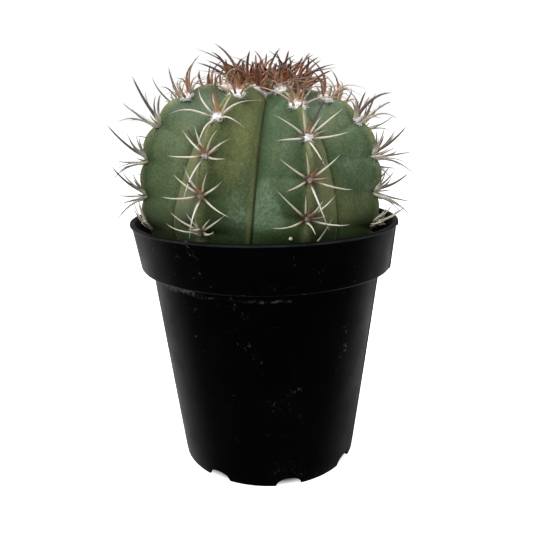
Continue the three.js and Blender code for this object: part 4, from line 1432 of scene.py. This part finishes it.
fill_in(net, shader, {
    "Base Color": tinted, "Roughness": bands * 0.2 + 0.34, "Specular IOR Level": 0.45,
    "Normal": bumped(net, fibres, 0.3, 0.05)})
print("finish:", spine_finish.name)

# %% Make the side spines
SPINE_SIDES, SPINE_STEPS = 7, 9
side_spines = made_by(spine_tree, "side_spines", {
    "Sides": SPINE_SIDES, "Steps": SPINE_STEPS, "Taper": 0.62, "Material": spine_finish},
    host=side_roots.mesh("side roots"))
dress(side_spines, ["cactus"])

# %% [markdown]
# ## Wool
#
# An areole is a felt pad of short white hairs, which greys and wears down with age. A bumpy pad
# gives the mass, and the hairs on it give the edge its fuzz. The same hairs clothe the crown.

# %% The tree that grows hairs
hair_tree = geometry_group("grow hairs", {
    "Pads": ("shape", None), "Density": ("number", 2.0), "Length": ("number", 1.4),
    "Thickness": ("number", 0.035), "Tousle": ("number", 0.9), "Seed": ("count", 3),
}, {"Woolly": "shape"})
net = hair_tree
strand = net.out("GeometryNodeMeshCone", {
    "Vertices": 3, "Side Segments": 3, "Radius Top": 0.15, "Radius Bottom": 1.0, "Depth": 1.0},
    output="Mesh", fill_type="TRIANGLE_FAN")
sx, sy, sz = net.parts(net.out("GeometryNodeInputPosition"))
curled = net.vector(sx * net.given("Thickness") + sz * sz * 0.45, sy * net.given("Thickness"), sz)
strand = net.out("GeometryNodeSetPosition", {"Geometry": strand, "Position": curled})
strand = stored(net, strand, "up", sz)
scattered = net.node("GeometryNodeDistributePointsOnFaces", {
    "Mesh": net.given("Pads"), "Density": net.given("Density"), "Seed": net.given("Seed")})
away = net.leaving(scattered, "Normal")


def random_vector(net, low, high, seed):
    values = {"Min": (low,) * 3, "Max": (high,) * 3, "Seed": seed}
    return net.out("FunctionNodeRandomValue", values, data_type="FLOAT_VECTOR")


def random_number(net, low, high, seed):
    return net.out("FunctionNodeRandomValue", {"Min": low, "Max": high, "Seed": seed},
                   data_type="FLOAT")


TOUSLE_SEED, SPIN_SEED, SIZE_SEED = 11, 5, 7
tousled = away + random_vector(net, -1.0, 1.0, TOUSLE_SEED) * net.given("Tousle")
aimed = net.out("FunctionNodeAlignRotationToVector", {"Vector": tousled}, axis="Z")
spin = net.vector(0.0, 0.0, random_number(net, 0.0, math.tau, SPIN_SEED))
spun = net.out("FunctionNodeRotateRotation", {"Rotation": aimed, "Rotate By": spin},
               rotation_space="LOCAL")
size = random_number(net, 0.55, 1.25, SIZE_SEED) * net.given("Length")
hairs = net.out("GeometryNodeInstanceOnPoints", {
    "Points": net.leaving(scattered, "Points"), "Instance": strand, "Rotation": spun,
    "Scale": net.vector(1.0, 1.0, 1.0) * size})
real = net.out("GeometryNodeRealizeInstances", {"Geometry": hairs})
both = net.join(real, net.given("Pads"))
net.give("Woolly", net.out("GeometryNodeSetShadeSmooth", {"Geometry": both}))
print("tree:", net.tree.name)

# %% The areoles' pads
PAD_HEIGHT = 0.9
HAIR_LENGTH = 1.5
pad_tree = geometry_group("woolly pads", {
    "Areoles": ("shape", None), "Lumps": ("number", 0.45), "Density": ("number", 3.0),
    "Material": ("material", None),
}, {"Wool": "shape"})
net = pad_tree
ball = net.out("GeometryNodeMeshIcoSphere", {"Radius": 1.0, "Subdivisions": 4})
facing = net.out("FunctionNodeAxesToRotation", (
    read_value(net, "out", "FLOAT_VECTOR"), read_value(net, "along", "FLOAT_VECTOR")),
    primary_axis="Z", secondary_axis="X")
wide, high = read_value(net, "wide"), read_value(net, "high")
pads = net.out("GeometryNodeInstanceOnPoints", {
    "Points": net.given("Areoles"), "Instance": ball, "Rotation": facing,
    "Scale": net.vector(wide, wide * 0.92, high)})
pads = net.out("GeometryNodeRealizeInstances", {"Geometry": pads})
here = net.out("GeometryNodeInputPosition")
lump = net.noise(here, 0.75, 4.0, 0.75) - 0.5
normal = net.out("GeometryNodeInputNormal")
pads = net.out("GeometryNodeSetPosition", {
    "Geometry": pads, "Offset": normal * (lump * net.given("Lumps") * 2)})
woolly = net.use(hair_tree.tree, {
    "Pads": pads, "Density": net.given("Density"), "Length": HAIR_LENGTH, "Thickness": 0.05})
net.give("Wool", finished(net, woolly, net.given("Material")))
print("tree:", net.tree.name)

# %% Finish: wool
wool_finish, net, shader = new_material("areole wool")
WHITE_WOOL = (0.94, 0.93, 0.91, 1)
OLD_WOOL = (0.40, 0.34, 0.27, 1)
SHADED_WOOL = (0.17, 0.050, 0.030, 1)
fresh, spine_shade = stored_value(net, "fresh"), stored_value(net, "spine_shade")
tufted = net.noise(net.spot(), 1300.0, 4.0, 0.7)
tinted = net.blend(net.smooth(fresh + (tufted - 0.5) * 0.5, 0.05, 0.55), OLD_WOOL, WHITE_WOOL)
# Painted shade under the crowded crown spines, red-brown like their bases.
spine_shaded = net.smooth(spine_shade + (tufted - 0.5) * 0.3, 0.42, 0.55)
tinted = net.blend(spine_shaded * 0.95, tinted, SHADED_WOOL)
felt = net.use(grain.tree, {"Scale": 4200.0, "Coarseness": 0.5})
fill_in(net, shader, {
    "Base Color": tinted, "Roughness": tufted * 0.1 + 0.85, "Specular IOR Level": 0.1,
    "Subsurface Weight": 0.5, "Subsurface Radius": (1.0, 0.9, 0.8), "Subsurface Scale": 1.0 * MM,
    "Sheen Weight": 0.3, "Normal": bumped(net, felt, 0.8, 0.2)})
print("finish:", wool_finish.name)

# %% Make the areoles' wool
def pad_points(name, lengths, ages, places, outs, alongs):
    """The roots of some areoles' pads: broad, high and white near the crown, worn below."""
    return point_mesh(name, places, {
        "out": [tuple(v) for v in outs], "along": [tuple(v) for v in alongs],
        "wide": [PAD_RADIUS * (0.54 + 1.22 * age) for age in ages],
        "high": [PAD_HEIGHT * (0.62 + 0.9 * age) for age in ages],
        "fresh": [smoothstep(a, 4, 38) for a in lengths], "spine_shade": [0.0] * len(ages)})


PAD_HAIRS = 3.2  # on each square millimetre
wool = made_by(pad_tree, "areole_wool", {
    "Lumps": 1.5, "Density": PAD_HAIRS, "Material": wool_finish},
    host=pad_points("pad points", arcs, youths, spots, outs, alongs))
dress(wool, ["cactus"])

# %% [markdown]
# ## The crown
#
# In the middle of the crown the youngest areoles touch, and their wool and spines run together.
# A low cushion of wool fills the dimple, cut to the stem's own form, and the young spines stand
# on it in tufts: upright in the middle, leaning outward at the edge.

# %% Sizes of the crown
CUSHION_RADIUS = 14.5
CUSHION_EDGE = 0.7
CUSHION_DOME = 2.6
CLEARANCE = 0.35
TUFTS = 24
TUFT_REACH = 13.6
CROWN_LENGTH = 7.5
CROWN_LENGTHENING = 5.5
CROWN_TILT = 6
CROWN_TILTING = 36
GOLDEN_ANGLE = 137.508


def crest_height(distance):
    """Height of a crest at a distance from the plant's axis, before the plant leans."""
    share = (distance / STEM_RADIUS) ** FULLNESS
    height = STEM_MIDDLE + STEM_RISE * (1 - share) ** (1 / FULLNESS)
    return height - DIMPLE_DEPTH * max(1 - (distance / DIMPLE_RADIUS) ** 2, 0) ** 2


CUSHION_RIM = crest_height(CUSHION_RADIUS) + CLEARANCE + CUSHION_EDGE


def cushion_top(distance):
    return CUSHION_RIM + CUSHION_DOME * (1 - (distance / CUSHION_RADIUS) ** 2)


print("the cushion's rim is at", round(CUSHION_RIM, 2), "mm")

# %% The crown's wool
cushion_tree = geometry_group("crown cushion", {
    "Radius": ("number", CUSHION_RADIUS), "Rim": ("number", CUSHION_RIM),
    "Dome": ("number", CUSHION_DOME), "Lumps": ("number", 1.1), "Density": ("number", 2.0),
    "Material": ("material", None),
}, {"Wool": "shape"})
net = cushion_tree
UNDER_SHARE = 0.25  # of the rows, for the hidden underside
CUSHION_COLUMNS, CUSHION_ROWS = 145, 49
grid = net.out("GeometryNodeMeshGrid", {
    "Size X": 1.0, "Size Y": 1.0, "Vertices X": CUSHION_COLUMNS, "Vertices Y": CUSHION_ROWS})
gx, gy, _ = net.parts(net.out("GeometryNodeInputPosition"))
angle = (gx + 0.5) * math.tau
row = gy + 0.5
far = net.ramp(row, 0.0, UNDER_SHARE) * net.ramp(row, UNDER_SHARE, 1.0, 1.0, 0.0)
on_top = net.math("GREATER_THAN", row, UNDER_SHARE + 0.01)
facing_x, facing_y = net.heading(angle)
r = far * net.given("Radius")
lump_place = net.vector(facing_x * r, facing_y * r, 0.0)
lumps = (net.noise(lump_place, 0.42, 3.0, 0.6) - 0.5) * net.given("Lumps")
top = net.given("Rim") + (1 - far * far) * net.given("Dome") + lumps
base = net.given("Rim") - GROOVE_MODEL
z = net.mix(on_top, base, top)
# Painted shade under the crowded spines: the whole cushion but its rim, and the upper wool over each
# groove.
across_ribs = net.math("COSINE", (angle - math.radians(FIRST_RIB)) * RIBS)
over_groove = net.smooth(across_ribs, 0.3, -0.5) * (1 + (z - net.given("Rim")) / GROOVE_MODEL)
spine_shade = net.math("MAXIMUM", net.smooth(far, 0.94, 0.75), over_groove) * 0.92
shape = stored(net, grid, "spine_shade", spine_shade)
shape = stored(net, shape, "fresh", 1.0)
shape = net.out("GeometryNodeSetPosition", {
    "Geometry": shape, "Position": leaned(net, net.vector(facing_x * r, facing_y * r, z))})
shape = net.out("GeometryNodeMergeByDistance", {"Geometry": shape, "Distance": 0.01})
stem_below = net.use(skin_tree.tree, {"Columns a rib": 24, "Rows": 120, "Grow": 0.1})
cut = net.out("GeometryNodeMeshBoolean", {"Mesh 1": shape, "Mesh 2": stem_below},
              operation="DIFFERENCE", solver="EXACT")
woolly = net.use(hair_tree.tree, {
    "Pads": cut, "Density": net.given("Density"), "Length": HAIR_LENGTH, "Thickness": 0.035})
net.give("Wool", finished(net, woolly, net.given("Material")))
crown_wool = made_by(cushion_tree, "crown_wool", {"Material": wool_finish})
dress(crown_wool, ["crown"])
ring_wool = made_by(pad_tree, "ring_wool", {
    "Lumps": 1.7, "Density": PAD_HAIRS, "Material": wool_finish},
    host=pad_points("inner pads", inner_arcs, [1.0] * len(inner), *inner_places))
dress(ring_wool, ["crown"])

# %% The crown's young spines
TUFT_SPINES = 5
FINE_FROM = 3  # the last spines of each tuft are fine, pale and arch further over
OVER_GROOVES = 0.97  # share of the reach at which one more tuft stands over each groove
CROWN_CURL = 1.2  # only the wildest draws curl this much
SPLAY, MIDDLE_SPLAY = 20, 50  # degrees that headings stray, and how much more in the middle
TALL_STRAIGHTNESS = 0.7
TILT_SPREAD, FINE_TILT_SPREAD = 14, 20
FINE_TILT, FINE_SPLAY = 14, 50  # degrees that a fine spine leans and strays further
FINE_STEP = 1.6  # how many steps round the crown one stands from its tuft, at most
FINE_SHIFT = 1.7  # and how far in or out
FINE_SAG = Vector((0, 0, -0.25))
HOOK_SAG = Vector((0, 0, -0.12))
STEP_TURN = 14  # degrees round the crown between the spines of a tuft at its edge
CROWN_FINENESS = 0.42
BASE_SUNK = 0.4

# Each trait of a crown spine has its own draws.
CROWN_TRAITS = ("heading", "tilt", "length", "fine heading", "fine step", "fine place", "bend ahead",
                "bend aside", "tall", "radius", "red", "tone", "hook ahead", "hook aside")


def crown_draw(tuft, i, trait):
    return draw(tuft, i, 3 + 2 * CROWN_TRAITS.index(trait))


def wildly(value):
    return CROWN_CURL * value * abs(value)


def add_tuft(roots, tuft, share, around):
    """A tuft of spines at a share of the way out to the crown's edge, at an azimuth."""
    def stray(i, trait):
        return 2 * crown_draw(tuft, i, trait) - 1

    for i in range(TUFT_SPINES):
        is_fine = i >= FINE_FROM
        tall = 0 if is_fine else crown_draw(tuft, i, "tall") ** 2
        heading = around + (SPLAY + MIDDLE_SPLAY * (1 - share)) * stray(i, "heading")
        tilt_spread = FINE_TILT_SPREAD if is_fine else TILT_SPREAD
        tilt = CROWN_TILT + CROWN_TILTING * share + tilt_spread * stray(i, "tilt")
        tilt *= 1 - TALL_STRAIGHTNESS * tall
        step, away = i - 1, TUFT_REACH * share
        if is_fine:
            tilt += FINE_TILT
            heading += FINE_SPLAY * stray(i, "fine heading")
            step = FINE_STEP * stray(i, "fine step")
            away += FINE_SHIFT * stray(i, "fine place")
        tilt = math.radians(tilt)
        base = outward(around + STEP_TURN * step / max(share, 0.3)) * away
        base.z = cushion_top(min(away, CUSHION_RADIUS)) - BASE_SUNK
        direction = outward(heading) * math.sin(tilt) + Vector((0, 0, math.cos(tilt)))
        ahead, aside = lean @ outward(heading), lean @ outward(heading + 90)
        bend = (ahead * (0.2 * share + 0.16 * stray(i, "bend ahead"))
                + aside * 0.2 * stray(i, "bend aside"))
        if is_fine:
            bend = bend + FINE_SAG
        hook = (ahead * wildly(stray(i, "hook ahead")) + aside * wildly(stray(i, "hook aside"))
                + HOOK_SAG)
        length = (CROWN_LENGTH + CROWN_LENGTHENING * share) * (1 + 0.15 * stray(i, "length"))
        length *= (0.92 + 0.62 * tall) / (1 + BEND_SHORTENING * (bend + hook).length)
        stoutness = CROWN_FINENESS if is_fine else 1.05 - 0.2 * crown_draw(tuft, i, "radius")
        red = 0.35 + 0.3 * crown_draw(tuft, i, "red") if is_fine else 1.0
        tone = 0.75 * crown_draw(tuft, i, "tone") * smoothstep(share, 0.1, 0.6) + 0.25 * share
        roots.add(leaning(base), lean @ direction, bend, hook, length,
                  CROWN_SPINE_RADIUS * stoutness, red, tone)


tufts = [(math.sqrt((i + 0.5) / TUFTS), i * GOLDEN_ANGLE) for i in range(TUFTS)]
tufts += [(OVER_GROOVES, FIRST_RIB + (i + 0.5) * RIB_PITCH) for i in range(RIBS)]
crown_roots = Roots()
for tuft, (share, around) in enumerate(tufts):
    add_tuft(crown_roots, tuft, share, around)
for areole in zip(inner, inner_arcs, [1.0] * len(inner), *inner_places):
    add_bunch(crown_roots, areole, YOUNG_SPINES, YOUNG_DRAWS)
    add_bunch(crown_roots, areole, ARCHED_SPINES, 0, fineness=0.72, redness=ARCHED_REDNESS)
crown_spines = made_by(spine_tree, "crown_spines", {
    "Sides": SPINE_SIDES, "Steps": SPINE_STEPS, "Taper": 0.6, "Material": spine_finish},
    host=crown_roots.mesh("crown roots"))
dress(crown_spines, ["crown"])
print(len(crown_roots.rows), "spines in the crown")

# %% [markdown]
# ## The soil
#
# The pot is filled to a finger's width under the lip with a dark peat mix. Only its edge shows
# beside the stem. Its top is a fine uneven surface, cut to the stem's form, and Geometry Nodes
# scatter crumbs and white perlite over it.

# %% Finish: potting mix
soil_finish, net, shader = new_material("potting mix")
PEAT = (0.013, 0.009, 0.0065, 1)
CRUMB = (0.05, 0.032, 0.02, 1)
crumbs = net.noise(net.spot(), 900.0, 5.0, 0.7)
tint = stored_value(net, "tint")
damp = net.use(patches.tree, {"Scale": 120.0, "Detail": 3.0, "From": 0.4, "To": 0.65})
tinted = net.blend(net.smooth(crumbs, 0.4, 0.75) * 0.7, PEAT, CRUMB)
tinted = net.blend(tint * 0.6, tinted, CRUMB)
clods = net.use(grain.tree, {"Scale": 2400.0, "Coarseness": 0.55})
fill_in(net, shader, {
    "Base Color": net.blend(damp * 0.35, tinted, PEAT), "Roughness": damp * -0.15 + 0.95,
    "Specular IOR Level": 0.2, "Normal": bumped(net, clods, 0.9, 0.35)})

perlite_finish, net, shader = new_material("perlite")
PERLITE = (0.72, 0.71, 0.67, 1)
PERLITE_SHADE = (0.42, 0.38, 0.32, 1)
pits = net.use(patches.tree, {"Scale": 1100.0, "Detail": 3.0, "From": 0.35, "To": 0.7})
pitted = net.use(grain.tree, {"Scale": 3800.0, "Coarseness": 0.6})
fill_in(net, shader, {
    "Base Color": net.blend(pits, PERLITE_SHADE, PERLITE), "Roughness": pits * 0.15 + 0.8,
    "Normal": bumped(net, pitted, 0.9, 0.2)})
print("finishes:", soil_finish.name, "and", perlite_finish.name)

# %% The soil's body
SOIL_COLUMNS = 240
SOIL_RINGS = 44  # over its top, from the wall to under the stem
INNERMOST_RING = 26
wall_top = SHOULDER_HEIGHT + WALL
top_radius = inner_radius(SOIL_LEVEL) - CLEARANCE
low_side = [(cone_radius(z) - WALL - CLEARANCE, z) for z in (floor_top, 40, wall_top - CLEARANCE)]
ledge = [(cone_radius(SHOULDER_HEIGHT) - WALL - CLEARANCE, wall_top + CLEARANCE),
         (inner_radius(SHOULDER_HEIGHT + 2) - CLEARANCE, wall_top + CLEARANCE),
         (inner_radius(SOIL_LEVEL - 2) - CLEARANCE, SOIL_LEVEL - 2)]
top_rings = [(r, SOIL_LEVEL) for r in np.linspace(top_radius, INNERMOST_RING, SOIL_RINGS)]
soil_outline = [Vector(p) for p in (
    (0, floor_top), *low_side, *ledge, *top_rings, (0, SOIL_LEVEL))]
soil_blank = turned(soil_outline, [i * 360 / SOIL_COLUMNS for i in range(SOIL_COLUMNS)])
for vertex in soil_blank.vertices:
    if vertex.co.z > SOIL_LEVEL - 0.5:
        vertex.co.z = soil_height(vertex.co.x, vertex.co.y)
print("the soil's blank has", len(soil_blank.vertices), "points")

# %% The tree that crumbles the soil
soil_tree = geometry_group("crumble the soil", {
    "Body": ("shape", None), "Unevenness": ("number", 0.8), "Crumbs": ("number", 0.5),
    "Perlite": ("number", 0.012), "Soil": ("material", None), "Grit": ("material", None),
}, {"Soil": "shape"})
net = soil_tree
here = net.out("GeometryNodeInputPosition")
hx, hy, hz = net.parts(here)
away = net.math("SQRT", hx * hx + hy * hy)
is_top = net.math("GREATER_THAN", hz, SOIL_LEVEL - 1.5)
on_top = is_top * net.math("LESS_THAN", away, top_radius - 0.3)
rough = (net.noise(here, 0.55, 4.0, 0.65) - 0.5) * net.given("Unevenness") * 2
body = net.out("GeometryNodeSetPosition", {
    "Geometry": net.given("Body"), "Offset": net.vector(0.0, 0.0, rough * on_top)})
stem_inside = net.use(skin_tree.tree, {"Columns a rib": 24, "Rows": 100, "Grow": CLEARANCE})
body = net.out("GeometryNodeMeshBoolean", {"Mesh 1": body, "Mesh 2": stem_inside},
               operation="DIFFERENCE", solver="EXACT")
body = net.out("GeometryNodeSetShadeSmooth", {"Geometry": body})
body = net.out("GeometryNodeSetMaterial", {"Geometry": body, "Material": net.given("Soil")})


def jagged(net, shape, scale, reach):
    """Lumps whose points are pushed about by a noise."""
    jag = net.noise(net.out("GeometryNodeInputPosition"), scale, 2.0, 0.6, output="Color")
    return net.out("GeometryNodeSetPosition", {
        "Geometry": shape, "Offset": (jag - (0.5, 0.5, 0.5)) * reach})


def scattered_lumps(net, body, density, size, seed, material):
    """Small broken lumps, half sunk into the top of the soil."""
    faces_up = net.math("GREATER_THAN", net.parts(net.out("GeometryNodeInputNormal"))[2], 0.5)
    is_top = net.math("GREATER_THAN", net.parts(net.out("GeometryNodeInputPosition"))[2],
                      SOIL_LEVEL - 1.6)
    points = net.out("GeometryNodeDistributePointsOnFaces", {
        "Mesh": body, "Density": density, "Seed": seed, "Selection": faces_up * is_top})
    lump = net.out("GeometryNodeMeshIcoSphere", {"Radius": 1.0, "Subdivisions": 2})
    copies = net.out("GeometryNodeInstanceOnPoints", {
        "Points": points, "Instance": lump,
        "Rotation": random_vector(net, 0.0, math.tau, seed + 1),
        "Scale": random_vector(net, 0.35 * size, size, seed + 2)})
    tint = random_number(net, 0.0, 1.0, seed + 3)
    copies = stored(net, copies, "tint", tint, domain="INSTANCE")
    real = net.out("GeometryNodeRealizeInstances", {"Geometry": copies})
    return net.out("GeometryNodeSetMaterial", {
        "Geometry": jagged(net, real, 1.6, 0.9 * size), "Material": material})


CRUMB_SIZE = 0.75
PERLITE_SIZE = 1.0
CRUMB_SEED, PERLITE_SEED = 21, 57
crumbs = scattered_lumps(net, body, net.given("Crumbs"), CRUMB_SIZE, CRUMB_SEED, net.given("Soil"))
grit = scattered_lumps(net, body, net.given("Perlite"), PERLITE_SIZE, PERLITE_SEED,
                       net.given("Grit"))
real = net.out("GeometryNodeRealizeInstances", {"Geometry": net.join(grit, crumbs, body)})
net.give("Soil", net.out("GeometryNodeTransform", {"Geometry": real, "Scale": (MM, MM, MM)}))
soil = made_by(soil_tree, "potting_soil", {
    "Soil": soil_finish, "Grit": perlite_finish}, host=soil_blank)
dress(soil, ["soil"])

# %% One grain on the stem
grain_tree = geometry_group("lone grain", {
    "Places": ("shape", None), "Size": ("number", 0.5), "Material": ("material", None),
}, {"Grain": "shape"})
net = grain_tree
lump = net.out("GeometryNodeMeshIcoSphere", {"Radius": 1.0, "Subdivisions": 4})
copies = net.out("GeometryNodeInstanceOnPoints", {
    "Points": net.given("Places"), "Instance": lump,
    "Scale": net.vector(net.given("Size"), net.given("Size") * 0.8, net.given("Size"))})
real = net.out("GeometryNodeRealizeInstances", {"Geometry": copies})
rough_lump = jagged(net, real, 1.9, net.given("Size") * 0.6)
net.give("Grain", finished(net, rough_lump, net.given("Material")))
GRAIN_RIB, GRAIN_SHARE, GRAIN_ARC = 0, -0.27, -9.2
GRAIN_OUT = 0.3  # how far its middle stands off the skin
grain_spots, grain_outs, _ = places_on_stem([GRAIN_RIB], [GRAIN_SHARE], [GRAIN_ARC])
grain_spots = [place + out * GRAIN_OUT for place, out in zip(grain_spots, grain_outs)]
lone_grain = made_by(grain_tree, "stray_grain", {"Size": 0.6, "Material": perlite_finish},
                     host=point_mesh("grain place", grain_spots, {}))
lone_grain.data.shade_smooth()
dress(lone_grain, ["soil"])
